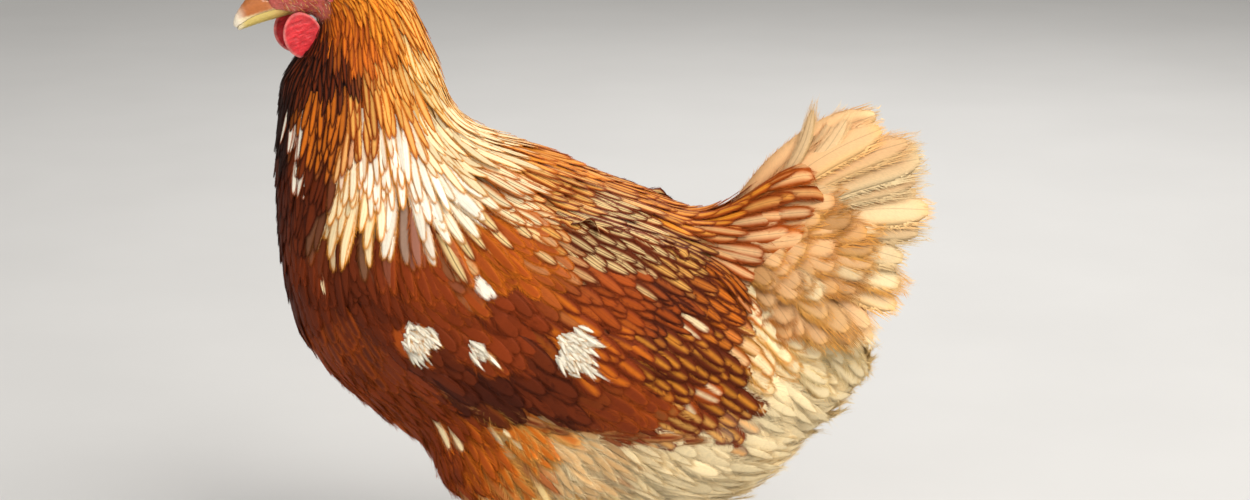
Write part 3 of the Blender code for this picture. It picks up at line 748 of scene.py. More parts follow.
# The kinds of feather, each in several shapes.
VANES = {
    "hair": [vane(tip_pointed, 3, 0.12, 0.3, 3 + k, rows=4, splits=0) for k in range(3)],
    "bristle": [vane(tip_pointed, 9, 0.25, 0.3, 5 + k, rows=4, splits=0) for k in range(4)],
    "streak": [vane(tip_pointed, 36, 0.18, 0.16, 10 + k, rows=7) for k in range(6)],
    "lens": [vane(tip_lens, 54, 0.25, 0.22, 20 + k, fray=0.04) for k in range(8)],
    "round": [vane(tip_round, 54, 0.4, 0.22, 30 + k, fray=0.06) for k in range(8)],
    "broad": [vane(tip_blunt, 68, 0.42, 0.26, 40 + k, rows=10, splits=3, fray=0.08) for k in range(8)],
    "soft": [vane(tip_round, 44, 0.45, 0.55, 50 + k, start=0.15, rows=6, fray=0.12) for k in range(6)],
    "fluff": [vane(tip_lens, 58, 0.42, 0.68, 60 + k, start=0.06, rows=6, fray=0.08) for k in range(8)],
    "quill": [vane(tip_blunt, 170, 0.2, 0.1, 70 + k, start=0.05, rows=16, splits=6, fray=0.05) for k in range(8)],
    "plume": [vane(tip_blunt, 170, 0.25, 0.2, 80 + k, start=0.05, rows=16, splits=6, fray=0.09) for k in range(8)],
}
VANE_START = dict(zip(VANES, np.cumsum([0] + [len(shapes) for shapes in VANES.values()])))

# ---------------------------------------------------------------- markings

# Named places (x, distance from the mid plane, z), the colours there beside the shaft and at the vane's edge, how far
# across the vane the first reaches, and how dark the shaft shows.
MARKINGS = {
    "nape": ((-128, 5, 440), "gold", "orange", 0.5, 0.0),
    "neck back": ((-100, 5, 405), "honey", "orange", 0.55, 0.0),
    "neck side": ((-122, 32, 410), "gold", "orange", 0.5, 0.0),
    "neck middle": ((-138, 34, 395), "orange", "rust", 0.45, 0.0),
    # the front of the neck is darker than its plumage alone: partly dark feathers, partly painted shade
    "neck front side": ((-158, 30, 380), "bay", "sooty_shade", 0.45, 0.0),
    "neck fore": ((-152, 36, 368), "bay", "sooty_shade", 0.5, 0.0),
    "throat": ((-176, 8, 395), "sooty_shade", "sooty_shade", 0.6, 0.0),
    "low neck back": ((-88, 8, 362), "straw", "gold", 0.6, 0.0),
    "low neck side": ((-108, 50, 356), "honey", "orange", 0.5, 0.1),
    "low neck middle": ((-130, 48, 348), "honey", "rust", 0.4, 0.1),
    # the low neck's front: partly dark feathers, partly painted shade
    "low neck fore": ((-150, 45, 345), "orange", "dark", 0.5, 0.1),
    "low neck front": ((-184, 20, 340), "sooty_shade", "sooty_shade", 0.6, 0.0),
    "cape back": ((-60, 14, 333), "cream", "gold", 0.75, 0.1),
    "cape back side": ((-70, 45, 325), "cream", "gold", 0.75, 0.1),
    "cape shoulder": ((-72, 62, 302), "white", "honey", 0.8, 0.1),
    "cape side": ((-104, 68, 300), "white", "gold", 0.75, 0.1),
    "cape middle": ((-116, 62, 322), "white", "gold", 0.6, 0.1),
    "cape fore": ((-136, 60, 290), "cream", "gold", 0.65, 0.1),
    "cape fore edge": ((-162, 48, 300), "bay", "dark", 0.6, 0.0),
    # the dark crop: partly dark feathers, partly painted shade
    "crop": ((-188, 8, 300), "dark", "dark", 0.6, 0.0),
    "breast": ((-182, 15, 230), "dark", "bay", 0.6, 0.0),
    "breast side": ((-160, 52, 245), "bay", "chestnut", 0.6, 0.0),
    "breast side low": ((-138, 58, 215), "bay", "rust", 0.5, 0.0),
    "breast low": ((-150, 35, 195), "chestnut", "rust", 0.6, 0.0),
    "keel": ((-105, 20, 145), "rust", "rust", 0.6, 0.0),
    "flank": ((-98, 66, 178), "chestnut", "rust", 0.6, 0.0),
    "shoulder": ((-50, 50, 300), "cream", "orange", 0.6, 0.6),
    "shoulder edge": ((-58, 70, 284), "straw", "rust", 0.55, 0.7),
    "back": ((-15, 6, 320), "gold", "orange", 0.6, 0.1),
    "back side": ((-5, 36, 306), "honey", "rust", 0.5, 0.6),
    "loin": ((25, 46, 286), "straw", "chestnut", 0.42, 0.8),
    "loin low": ((20, 66, 272), "straw", "bay", 0.34, 0.8),
    "saddle": ((55, 12, 288), "gold", "rust", 0.5, 0.3),
    "saddle side": ((62, 44, 258), "honey", "bay", 0.36, 0.7),
    "saddle low": ((82, 48, 240), "orange", "bay", 0.45, 0.5),
    "wing point": ((-138, 62, 260), "bay", "bay", 0.7, 0.0),
    "wing bow": ((-95, 82, 262), "chestnut", "rust", 0.7, 0.0),
    "wing bow front": ((-118, 74, 240), "bay", "chestnut", 0.7, 0.0),
    "wing top": ((-45, 80, 272), "rust", "orange", 0.65, 0.1),
    "wing middle": ((-45, 90, 235), "chestnut", "chestnut", 0.7, 0.0),
    "wing middle low": ((-62, 88, 225), "chestnut", "rust", 0.7, 0.0),
    "wing low": ((-80, 84, 205), "bay", "bay", 0.7, 0.0),
    "wing low middle": ((-15, 88, 190), "bay", "dark", 0.7, 0.0),
    "wing low border": ((-55, 86, 192), "dark", "dark", 0.7, 0.0),
    "wing top rear": ((20, 78, 254), "rust", "chestnut", 0.5, 0.2),
    "wing middle rear": ((15, 86, 222), "orange", "chestnut", 0.3, 0.1),
    "wing rear top": ((50, 80, 238), "rust", "dark", 0.4, 0.2),
    "wing rear": ((58, 82, 215), "gold", "bay", 0.22, 0.1),
    "wing rear low": ((80, 76, 190), "gold", "bay", 0.25, 0.1),
    "wing low rear": ((30, 84, 180), "chestnut", "rust", 0.6, 0.0),
    "wing low last": ((70, 80, 170), "honey", "chestnut", 0.3, 0.1),
    "rump": ((86, 8, 284), "gold", "rust", 0.4, 0.3),
    "tail base": ((104, 26, 268), "peach", "rust", 0.4, 0.3),
    "tail base low": ((108, 40, 236), "cream", "orange", 0.55, 0.2),
    "tail side": ((124, 33, 258), "peach", "orange", 0.6, 0.2),
    "tail side middle": ((140, 33, 240), "peach", "rust", 0.55, 0.2),
    "tail side low": ((118, 36, 222), "cream", "honey", 0.6, 0.1),
    "under tail": ((150, 25, 205), "cream", "straw", 0.7, 0.0),
    "vent": ((128, 30, 160), "cream", "cream", 0.6, 0.0),
    "belly rear": ((90, 30, 115), "cream", "cream", 0.5, 0.0),
    "belly": ((0, 10, 100), "straw", "cream", 0.5, 0.0),
    "thigh front": ((-84, 62, 150), "chestnut", "rust", 0.6, 0.0),
    "thigh": ((-58, 76, 146), "rust", "orange", 0.5, 0.0),
    "thigh middle": ((-30, 76, 150), "orange", "honey", 0.5, 0.0),
    "thigh rear": ((0, 72, 140), "buff", "cream", 0.5, 0.0),
    "flank rear": ((60, 64, 142), "cream", "cream", 0.6, 0.0),
    "drumstick": ((-25, 52, 98), "straw", "honey", 0.5, 0.0),
}
MARK_AT = np.array([row[0] for row in MARKINGS.values()], float)
MARK_INNER = np.array([PIGMENT[row[1]] for row in MARKINGS.values()])
MARK_OUTER = np.array([PIGMENT[row[2]] for row in MARKINGS.values()])
MARK_REACH = np.array([row[3:] for row in MARKINGS.values()], float)

# Feathers of another colour that break the pattern: centre, half sizes along x and z, inner and outer colour.
PATCHES = {
    "wing tuft": ((-94, -83, 224), (10, 12), "rust", "chestnut"),
    "small wing tuft": ((-60, -88, 219), (4, 7), "rust", "chestnut"),
    "rear wing tuft": ((-3, -90, 220), (11, 15), "orange", "rust"),
    "neck fleck": ((-170, -38, 336), (6, 7), "white", "rust"),
    "crop fleck": ((-168, -46, 315), (5, 8), "white", "rust"),
    "breast fleck": ((-157, -57, 249), (5, 6), "cream", "chestnut"),
    "thigh blaze": ((-78, -66, 155), (6, 6), "cream", "orange"),
    "thigh wash": ((-46, -75, 159), (9, 10), "cream", "honey"),
    "wing spot": ((66, -75, 236), (6, 5), "cream", "chestnut"),
    "wing spot low": ((74, -76, 188), (8, 9), "cream", "rust"),
    "shoulder fleck": ((-56, -83, 262), (5, 5), "white", "chestnut"),
    "far wing tuft": ((-70, 86, 226), (12, 13), "white", "cream"),
    "far wing fleck": ((10, 88, 214), (8, 10), "white", "cream"),
    "far thigh wash": ((-30, 75, 150), (14, 12), "cream", "honey"),
}

MARK_CORE = 40.0  # square mm: within this of a marking's middle its own colours hold


def plumage(points, seed, vary):
    """Each feather's two colours, reach and shaft, for the place its visible part lies over.

    vary is how freely a feather takes the colours of a marking that isn't the nearest."""
    rng = np.random.default_rng(seed)
    folded, _ = mirrored(points)
    away = ((folded[:, None, :] - MARK_AT[None]) ** 2).sum(axis=2)
    weight = np.exp(vary * rng.normal(size=away.shape)) / (away + MARK_CORE) ** 6
    weight /= weight.sum(axis=1, keepdims=True)
    inner, outer, extent = weight @ MARK_INNER, weight @ MARK_OUTER, weight @ MARK_REACH
    for centre, (along, high), first, second in PATCHES.values():
        offset = points - centre
        inside = (offset[:, 0] / along) ** 2 + (offset[:, 2] / high) ** 2 < 1
        inside &= np.abs(offset[:, 1]) < 25
        inner[inside], outer[inside] = PIGMENT[first], PIGMENT[second]
    return inner, outer, extent[:, 0], extent[:, 1]


# ---------------------------------------------------------------- finishes


def node(tree, kind, links=(), **settings):
    """One shader node with its settings, and links given as (input, socket it comes from or value)."""
    made = tree.nodes.new(kind)
    for name, value in settings.items():
        setattr(made, name, value)
    for socket, source in links:
        if isinstance(source, bpy.types.NodeSocket):
            tree.links.new(source, made.inputs[socket])
        else:
            made.inputs[socket].default_value = source
    return made


def new_finish(name, roughness, ior=1.5):
    """A material with its Principled shader."""
    finish = bpy.data.materials.new(name)
    finish.use_nodes = True
    shader = finish.node_tree.nodes["Principled BSDF"]
    shader.inputs["Roughness"].default_value = roughness
    shader.inputs["IOR"].default_value = ior
    return finish, finish.node_tree, shader


def toned(tree, colour, tone):
    """A colour made darker or lighter by a tone round 1."""
    grey = node(tree, "ShaderNodeCombineXYZ", [(0, tone), (1, tone), (2, tone)]).outputs[0]
    links = [(0, 1.0), (6, colour), (7, grey)]
    return node(tree, "ShaderNodeMix", links, data_type="RGBA", blend_type="MULTIPLY").outputs[2]


def keratin_vane():
    """Feather: barbs of keratin hooked into a vane. Soft satin, streaked along the barbs, darker at the shaft."""
    finish, tree, shader = new_finish("feather_keratin_vane", 0.62, 1.54)
    math_node, ramp, soft = "ShaderNodeMath", "ShaderNodeMapRange", "SMOOTHSTEP"
    vane_place = node(tree, "ShaderNodeAttribute", attribute_name="vane").outputs["Vector"]
    across, along, reach = node(tree, "ShaderNodeSeparateXYZ", [(0, vane_place)]).outputs
    lot = node(tree, "ShaderNodeAttribute", attribute_name="lot").outputs["Vector"]
    feather_lot, barb_lot, shaft_dark = node(tree, "ShaderNodeSeparateXYZ", [(0, lot)]).outputs
    inner = node(tree, "ShaderNodeAttribute", attribute_name="inner_colour").outputs["Color"]
    outer = node(tree, "ShaderNodeAttribute", attribute_name="outer_colour").outputs["Color"]
    # the marking's own edge wanders from barb to barb
    wander = node(tree, math_node, [(0, barb_lot), (1, 0.24), (2, -0.12)], operation="MULTIPLY_ADD").outputs[0]
    wide = node(tree, math_node, [(0, across), (1, wander)], operation="ADD").outputs[0]
    low = node(tree, math_node, [(0, reach), (1, 0.42)], operation="SUBTRACT").outputs[0]
    high = node(tree, math_node, [(0, reach), (1, 0.2)], operation="ADD").outputs[0]
    tip_low = node(tree, math_node, [(0, reach), (1, 0.3), (2, 0.68)], operation="MULTIPLY_ADD").outputs[0]
    edge = node(tree, ramp, [(0, wide), (1, low), (2, high)], interpolation_type=soft).outputs[0]
    tip = node(tree, ramp, [(0, along), (1, tip_low), (2, 1.0)], interpolation_type=soft).outputs[0]
    rim = node(tree, math_node, [(0, edge), (1, tip)], operation="MAXIMUM").outputs[0]
    colour = node(tree, "ShaderNodeMix", [(0, rim), (6, inner), (7, outer)], data_type="RGBA").outputs[2]
    # barbs: about three to the millimetre, drawn two thirds of a millimetre apart so that they show
    flat = node(tree, "ShaderNodeUVMap", uv_map="vane_mm").outputs[0]
    flat_across, flat_along, _ = node(tree, "ShaderNodeSeparateXYZ", [(0, flat)]).outputs
    aside = node(tree, math_node, [(0, flat_across)], operation="ABSOLUTE").outputs[0]
    slant = node(tree, math_node, [(0, aside), (1, -1.4), (2, flat_along)], operation="MULTIPLY_ADD").outputs[0]
    ripple = node(tree, math_node, [(0, slant), (1, 2 * math.pi / 0.67)], operation="MULTIPLY").outputs[0]
    barbs = node(tree, math_node, [(0, ripple)], operation="SINE").outputs[0]
    place = node(tree, "ShaderNodeCombineXYZ", [(0, slant), (1, aside), (2, feather_lot)]).outputs[0]
    streaks = node(tree, "ShaderNodeTexNoise", [("Vector", place), ("Scale", 0.9), ("Detail", 3.0)]).outputs["Fac"]
    # the tone: a little for each barb's ripple, streak and lot, more for the feather's own lot
    tone = 1.0 - 0.395
    for source, share in ((barbs, 0.025), (streaks, 0.35), (feather_lot, 0.36), (barb_lot, 0.08)):
        tone = node(tree, math_node, [(0, source), (1, share), (2, tone)], operation="MULTIPLY_ADD").outputs[0]
    # darker towards each feather's root: partly its downy base, partly painted shade where the feathers above overlap
    # it
    base = node(tree, ramp, [(0, along), (1, 0.05), (2, 0.5), (3, 0.7), (4, 1.0)]).outputs[0]
    tone = node(tree, math_node, [(0, tone), (1, base)], operation="MULTIPLY").outputs[0]
    colour = toned(tree, colour, tone)
    shaft = node(tree, ramp, [(0, aside), (1, 0.5), (2, 0.15)], interpolation_type=soft).outputs[0]
    shaft = node(tree, math_node, [(0, shaft), (1, shaft_dark)], operation="MULTIPLY").outputs[0]
    links = [(0, shaft), (6, colour), (7, linear("#4A2412"))]
    colour = node(tree, "ShaderNodeMix", links, data_type="RGBA").outputs[2]
    tree.links.new(colour, shader.inputs["Base Color"])
    shader.inputs["Specular IOR Level"].default_value = 0.12
    bump = node(tree, "ShaderNodeBump", [("Strength", 0.15), ("Distance", 0.0002), ("Height", barbs)])
    tree.links.new(bump.outputs[0], shader.inputs["Normal"])
    return finish


def downy_skin():
    """Skin under the feathers: matt, in the colours of the down on it, darkened as painted shade between the feathers.
    """
    finish, tree, shader = new_finish("downy_skin", 0.62, 1.45)
    shader.inputs["Subsurface Weight"].default_value = 0.15
    shader.inputs["Subsurface Radius"].default_value = (0.003, 0.001, 0.0006)
    shader.inputs["Subsurface Scale"].default_value = 0.4
    colour = node(tree, "ShaderNodeAttribute", attribute_name="ground").outputs["Color"]
    grain = node(tree, "ShaderNodeTexNoise", [("Scale", 400.0), ("Detail", 4.0)]).outputs["Fac"]
    tone = node(tree, "ShaderNodeMapRange", [(0, grain), (3, 0.75), (4, 1.15)]).outputs[0]
    tree.links.new(toned(tree, colour, tone), shader.inputs["Base Color"])
    bump = node(tree, "ShaderNodeBump", [("Strength", 0.5), ("Distance", 0.0006), ("Height", grain)])
    tree.links.new(bump.outputs[0], shader.inputs["Normal"])
    return finish


FEATHER = keratin_vane()
SKIN = downy_skin()

# ---------------------------------------------------------------- tracts

# Lines on the hen's side, x and z: where the cape ends, the wing's upper and lower borders, and the belly's upper one.
CAPE_EDGE = (
    (-230, 318), (-172, 300), (-156, 280), (-122, 257), (-103, 266), (-81, 276), (-60, 290), (-33, 313), (0, 420),
)
WING_TOP = ((-150, 258), (-130, 284), (-95, 300), (-50, 303), (0, 296), (45, 282), (82, 262), (112, 236))
WING_LOW = ((-150, 244), (-128, 216), (-100, 196), (-57, 180), (-14, 168), (34, 157), (82, 152), (112, 158))
BELLY_TOP = ((-110, 130), (-60, 178), (40, 168), (92, 196), (130, 205))
SHANK_TOP = 84  # below this height the leg is bare


def line_height(points, line):
    """The height of a line on the hen's side at each point's x."""
    return np.interp(points[:, 0], *zip(*line))


def region_of(points):
    """The tract each point of the skin belongs to; each point belongs to just one."""
    p = to_head(points)
    way, size = lie(points)
    tips = points + way * size[:, :1] * 0.9
    mane = (tips[:, 2] > line_height(tips, CAPE_EDGE)) & (points[:, 0] < -30)
    side = np.abs(points[:, 1])
    wing = (side > 50) & (points[:, 0] > -150) & (points[:, 0] < 112)
    wing &= (points[:, 2] < line_height(points, WING_TOP)) & (points[:, 2] > line_height(points, WING_LOW) + 2)
    low = points[:, 2] < line_height(points, BELLY_TOP)
    tail = (points[:, 0] > 94) & (points[:, 2] > 205)
    front = points[:, 0] < -95
    region = np.full(len(points), "back", "U16")
    region[front] = "breast"
    region[low & ~front] = "underside"
    thigh = low & (points[:, 0] < 62) & ~front & (side > 20)
    region[thigh & (points[:, 1] < 0)] = "thigh_left"
    region[thigh & (points[:, 1] > 0)] = "thigh_right"
    region[tail] = "tail_covert"
    region[wing & (points[:, 1] < 0)] = "wing_left"
    region[wing & (points[:, 1] > 0)] = "wing_right"
    region[mane] = "cape"
    region[mane & (points[:, 2] + 0.25 * (points[:, 0] + 120) > 360)] = "neck"
    head = (p[:, 0] < 30) & (p[:, 2] > -31 - 0.3 * (p[:, 0] + 10)) & (p[:, 2] > -42)
    region[head] = "head"
    region[head & (bare_face(points) > 0.5)] = "face"
    region[points[:, 2] < SHANK_TOP] = "bare"
    return region


REGION = region_of(skin.co[skin.tris].mean(axis=1))


def cover(region, spacing, stretch, seed, root=0.4, hug=0.92, camber=0.12, lift=1.0, roll=5.0, wander=6.0,
          vary=1.2, blot=0.3):
    """Feathers over one tract. spacing is a share of their width; blot is how far lengths differ."""

    def gap(points):
        return lie(points)[1][:, 1] * spacing

    points, normals = skin.scatter((REGION == region).astype(float), gap, stretch, seed)
    rng = np.random.default_rng(seed + 1)
    way, size = lie(points, normals)
    length = size[:, 0] * np.exp(blot * 0.5 * rng.normal(size=len(points)))
    spines, facing = lay_on_skin(points, normals, way, length, hug)
    inner, outer, reach, shaft = plumage(spines[:, 3], seed + 2, vary)
    kinds = kind_of_feather(points, rng)
    tract(f"{region}_feathers", spines, facing, size[:, 1], kinds, inner, outer, FEATHER, seed + 3,
          reach=reach, camber=camber, lift=size[:, 2] * lift, root=root, shaft=shaft, roll=roll, wander=wander)


cover("neck", 0.52, 2.2, 100, root=1.0, hug=0.96, lift=0.7)
cover("cape", 0.46, 1.7, 150, root=1.4, hug=0.96, lift=0.6)
cover("breast", 0.52, 1.25, 200, lift=0.7)
cover("back", 0.54, 1.5, 300, lift=0.8)
cover("tail_covert", 0.5, 1.3, 400, hug=0.35, lift=0.5, blot=0.5)
cover("underside", 0.46, 1.3, 500, hug=0.7, roll=9, wander=10)
for label, first_seed in (("left", 550), ("right", 570)):
    cover(f"thigh_{label}", 0.46, 1.3, first_seed, roll=8, wander=11, lift=0.8, vary=2.4)
for label, first_seed in (("left", 600), ("right", 650)):
    cover(f"wing_{label}", 0.46, 1.25, first_seed, root=1.0, lift=0.4, camber=0.05, roll=2.5, vary=1.95)
cover("head", 0.6, 1.8, 700, root=0.1)


def scattered(share, spacing, stretch, seed, stray):
    """Points spread evenly over the skin, which way it faces, the coat's lie gone a little astray, and a generator."""
    points, normals = skin.scatter(share, lambda p: np.full(len(p), spacing), stretch, seed)
    rng = np.random.default_rng(seed + 1)
    way, _ = lie(points, normals)
    return points, normals, unit(way + stray * rng.normal(size=way.shape)), rng


def face_hairs():
    """Short hair-like feathers, far apart, on the bare red face."""
    centre = to_head(skin.co[skin.tris].mean(axis=1))
    eye = np.hypot(centre[:, 0] - EYE_X, centre[:, 2] - EYE_Z)
    share = (REGION == "face") * (eye > 9.0) * (centre[:, 0] > -16)
    points, normals, way, rng = scattered(share, 1.5, 1.4, 950, 0.25)
    length = 3.6 * np.exp(0.3 * rng.normal(size=len(points)))
    spines, facing = lay_on_skin(points, normals, way, length, 0.7, 0.1)
    inner = np.array([PIGMENT[("cream", "honey", "orange", "peach")[i]] for i in rng.integers(4, size=len(points))])
    tract("face_hairs", spines, facing, 0.42, "hair", inner, inner * 0.8, FEATHER, 952,
          lift=0.16, root=-0.1, wander=12)


face_hairs()

TUFTS = ("wing tuft", "small wing tuft", "rear wing tuft", "far wing tuft", "far wing fleck")


def tufts():
    """Loose white plumes that stand on the wing where the patches of that name are."""
    centre = skin.co[skin.tris].mean(axis=1)
    for label, side in SIDES.items():
        share = np.zeros(len(centre))
        for name in TUFTS:
            middle, (along, high) = PATCHES[name][:2]
            if middle[1] * side > 0:
                away = ((centre[:, 0] - middle[0] + 4) / along) ** 2 + ((centre[:, 2] - middle[2] - 4) / high) ** 2
                ragged = 0.5 + 0.9 * waves(centre, 5.0, 4.0, 2)
                share += (away < ragged) & (centre[:, 1] * side > 40)
        points, normals, way, rng = scattered(share, 1.45, 1.2, 900, 0.32)
        length = 10 * np.exp(0.25 * rng.normal(size=len(points)))
        spines, facing = lay_on_skin(points, normals, way, length, 0.9)
        inner = np.tile(PIGMENT["white"], (len(points), 1))
        outer = np.where(rng.random((len(points), 1)) < 0.6, PIGMENT["white"], PIGMENT["honey"])
        tract(f"white_tufts_{label}", spines, facing, 4.6, "fluff", inner, outer, FEATHER, 902,
              reach=0.7, lift=0.09, root=2.0, wander=12, roll=8)


tufts()


def between(first, second, share):
    """A colour part of the way from one pigment to another."""
    return PIGMENT[first] * (1 - share) + PIGMENT[second] * share


# Where the tail's feathers spring from: x, distance from the mid plane, z.
TAIL_ROOT = (81 - MIDDLE_X, 2.5, 264)
# Each main tail feather, from the top: its angle, length, how far it bends up by its tip, and its width.
TAIL_FAN = (
    (37, 110, 17, 10), (37, 117, 10, 14), (44, 128, -8, 25), (38, 134, -8, 26), (32, 138, -8, 26),
    (26, 139, -8, 26), (20, 137, -8, 27), (13, 131, -8, 27), (7, 126, -8, 27), (0, 121, -8, 27),
    (-7, 118, -8, 26), (-14, 117, -8, 25), (-21, 114, -8, 24),
)
FAR_ARC = (50, 132, -15, 25)  # the same for the third feather of the far side, which arches over the rest
# The layers of coverts on the fan: how far off it, how many, first and last angle, first and last length, width.
TAIL_COVERTS = (
    (1.4, 12, (42, -27), (98, 95), 25),
    (2.6, 12, (38, -31), (80, 79), 24),
    (3.8, 11, (34, -35), (62, 62), 22),
    (5.0, 9, (29, -38), (45, 46), 18),
)


def fan_spine(side, angle, length, low, start, bend, out=0.0):
    """A feather's spine in the tented fan of the tail: low is 0 at its ridge and 1 at its lower edge."""
    rows = []
    for share in np.linspace(start, 1.0, STATIONS):
        turn = math.radians(angle + bend * share**2)
        away = TAIL_ROOT[1] - 1.6 + (1 + 43 * low**1.35) * share + out
        reach = length * share
        rows.append((TAIL_ROOT[0] + reach * math.cos(turn), side * away, TAIL_ROOT[2] + reach * math.sin(turn)))
    steep = math.radians(74 - 30 * low)
    return rows, [(-0.12, side * math.sin(steep), math.cos(steep))] * STATIONS


def tail_feathers():
    """The main tail feathers, each on edge over the next lower one, and the long coverts that lie on them."""
    rng = np.random.default_rng(800)
    for label, side in SIDES.items():
        rows = []  # for each feather: its spine, the way it faces, width, colours inner, outer and at the root, kind
        for i, row in enumerate(TAIL_FAN):
            angle, length, bend, wide = FAR_ARC if (i == 2 and side > 0) else row
            low = (i + 0.5) / len(TAIL_FAN)
            angle += 1.5 * rng.normal()
            rows.append((
                *fan_spine(side, angle, length * (1 + 0.03 * rng.normal()), low, 0.1, bend),
                wide,
                between("cream", "peach", 0.2 + 0.7 * rng.random()),
                between("cream", "honey", 0.7 * rng.random()),
                between("peach", "orange", 0.3 * rng.random()),
                "plume" if i % 2 or i < 2 else "quill",
            ))
        for layer, (out, count, (top, bottom), (long, short), wide) in enumerate(TAIL_COVERTS):
            ruddy = 0.3 + 0.2 * layer
            for k in range(count):
                place = (k + 0.6) / count
                angle = top + (bottom - top) * place + 4 * rng.normal()
                length = (long + (short - long) * place) * (1 + 0.12 * rng.normal())
                low = min(max((56 - angle) / 79, 0.04), 1.0)
                rows.append((
                    *fan_spine(side, angle, length, low, 0.16, -9.0, out * (0.7 + 0.6 * low)),
                    wide * (1 + 0.1 * rng.normal()),
                    between("cream" if rng.random() < 0.35 else "peach", "tan", 0.9 * rng.random()),
                    between("honey", "rust", ruddy * rng.random()),
                    between("honey", "rust", ruddy * rng.random() ** 0.6),
                    "plume" if rng.random() < 0.5 else "broad",
                ))
        *columns, kinds = zip(*rows)
        spines, facing, width, inner, outer, roots = (np.array(column, float) for column in columns)
        piece = tract(f"tail_feathers_{label}", spines, unit(facing), width, kinds, inner, outer, FEATHER,
                      810, reach=0.66, camber=0.2, lift=0.02, root=0.0, roll=4, wander=2.0,
                      shaft=0.25, roots=roots, skew=0.6)
        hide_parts(f"tail_{label}")


tail_feathers()

FLIGHTS = 12  # long feathers that show in each folded wing


def flights():
    """The long wing feathers whose buff edges show along the wing's lower border, below the coverts."""
    x = np.linspace(-118, 6, FLIGHTS)
    z = line_height(x[:, None], WING_LOW) + np.linspace(6.5, 3.0, FLIGHTS)
    for label, side in SIDES.items():
        starts = np.stack([x, np.full(FLIGHTS, side * 200.0), z], axis=1)
        points, normals = skin.shoot(starts, (0, -side, 0))
        slope = np.gradient(z, x) * 0.75
        way = unit(np.stack([np.ones(FLIGHTS), np.zeros(FLIGHTS), slope], axis=1))
        spines, ways = lay_on_skin(points, normals, way, np.linspace(50, 72, FLIGHTS), 0.9, 0.0)
        inner = np.tile(PIGMENT["chestnut"], (FLIGHTS, 1))
        outer = np.tile(between("tan", "rust", 0.3), (FLIGHTS, 1))
        tract(f"flight_feathers_{label}", spines, ways, 10, "plume", inner, outer, FEATHER, 820,
              reach=0.4, camber=0.1, lift=0.02, root=0.8, roll=3, wander=3.5, shaft=0.2)


flights()


def dress_skin():
    """The skin as a piece: the coat's markings, darker as painted shade in the gaps, and red where the face is bare."""
    piece = new_object("skin", skin.co, skin.tris, SKIN)
    inner, outer, _, _ = plumage(skin.co, 1, 0.0)
    # the coat's colours made darker: painted shade where the skin shows between the feathers
    ground = (inner + outer) * (0.26 + 0.2 * outer.mean(axis=1, keepdims=True))
    face = on_face(skin.co)
    flush = waves(skin.co[face], 7.0, 6.0, 2)
    # pinker where the face's folds are raised and redder in their creases: painted light and shade
    red = painted("#A8322E", ("#D4776A", 0.5 + 0.35 * face_relief(skin.co[face])[1] + 0.4 * flush))
    share = bare_face(skin.co[face])[:, None]
    ground[face] = ground[face] * (1 - share) + red * share
    put_colour(piece.data, "ground", ground)
    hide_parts(*FLESH)


dress_skin()

# ---------------------------------------------------------------- bill, comb, wattles and eyes


def quads(rows, cols, closed=True):
    """The faces of a net of points, rows x cols; closed joins the last column to the first."""
    index = np.arange(rows * cols).reshape(rows, cols)
    beside = np.roll(index, -1, axis=1)
    if not closed:
        index, beside = index[:, :-1], index[:, 1:]
    return np.stack([index[:-1], beside[:-1], beside[1:], index[1:]], axis=-1).reshape(-1, 4)


def through(rows, t):
    """Points on a smooth curve through the rows, at shares t of the way."""
    rows = np.array(rows, float)
    return spline_weights(np.asarray(t, float), len(rows)) @ rows


def tinted(name, scale_mm, strength, depth_mm, roughness, ior, stretch=(1, 1, 1), coat=0.0, subsurface=0.0,
           spread=0.12):
    """A finish that takes its colour from the piece's own tint, broken up and roughened by fine grain."""
    finish, tree, shader = new_finish(name, roughness, ior)
    tint = node(tree, "ShaderNodeAttribute", attribute_name="tint").outputs["Color"]
    place = node(tree, "ShaderNodeTexCoord").outputs["Object"]
    place = node(tree, "ShaderNodeMapping", [("Vector", place), ("Scale", stretch)]).outputs[0]
    noise = [("Vector", place), ("Scale", 1000 / scale_mm), ("Detail", 4.0)]
    grain = node(tree, "ShaderNodeTexNoise", noise).outputs["Fac"]
    range_of_tone = [(0, grain), (1, 0.25), (2, 0.75), (3, 1 - spread), (4, 1 + spread)]
    tone = node(tree, "ShaderNodeMapRange", range_of_tone).outputs[0]
    tree.links.new(toned(tree, tint, tone), shader.inputs["Base Color"])
    rough = node(tree, "ShaderNodeMapRange", [(0, grain), (3, roughness - 0.08), (4, roughness + 0.1)]).outputs[0]
    tree.links.new(rough, shader.inputs["Roughness"])
    bump = node(tree, "ShaderNodeBump", [("Strength", strength), ("Distance", depth_mm * MM), ("Height", grain)])
    tree.links.new(bump.outputs[0], shader.inputs["Normal"])
    shader.inputs["Coat Weight"].default_value = coat
    shader.inputs["Subsurface Weight"].default_value = subsurface
    shader.inputs["Subsurface Radius"].default_value = (0.004, 0.0015, 0.001)
    shader.inputs["Subsurface Scale"].default_value = 0.4
    return finish


# Horn of the bill and claws: layered keratin, waxy, with fine lines along its growth.
HORN = tinted("layered_keratin_horn", 0.8, 0.3, 0.15, 0.38, 1.55, (0.35, 1, 1), 0.15)
# Comb and wattles: moist-looking bare skin, finely pimpled, lit through where it is thin.
COMB_SKIN = tinted("pimpled_red_comb_skin", 1.1, 0.7, 0.35, 0.48, 1.42, subsurface=0.25, spread=0.16)
# Legs: overlapping hard scales, dry and pale, darker in the seams.
LEG_SCALE = tinted("dry_leg_scale", 0.9, 0.35, 0.15, 0.5, 1.52, spread=0.14)
# Eye: a wet clear cornea over the iris.
WET_EYE = tinted("wet_eye", 0.5, 0.0, 0.01, 0.12, 1.38, coat=1.0, spread=0.2)

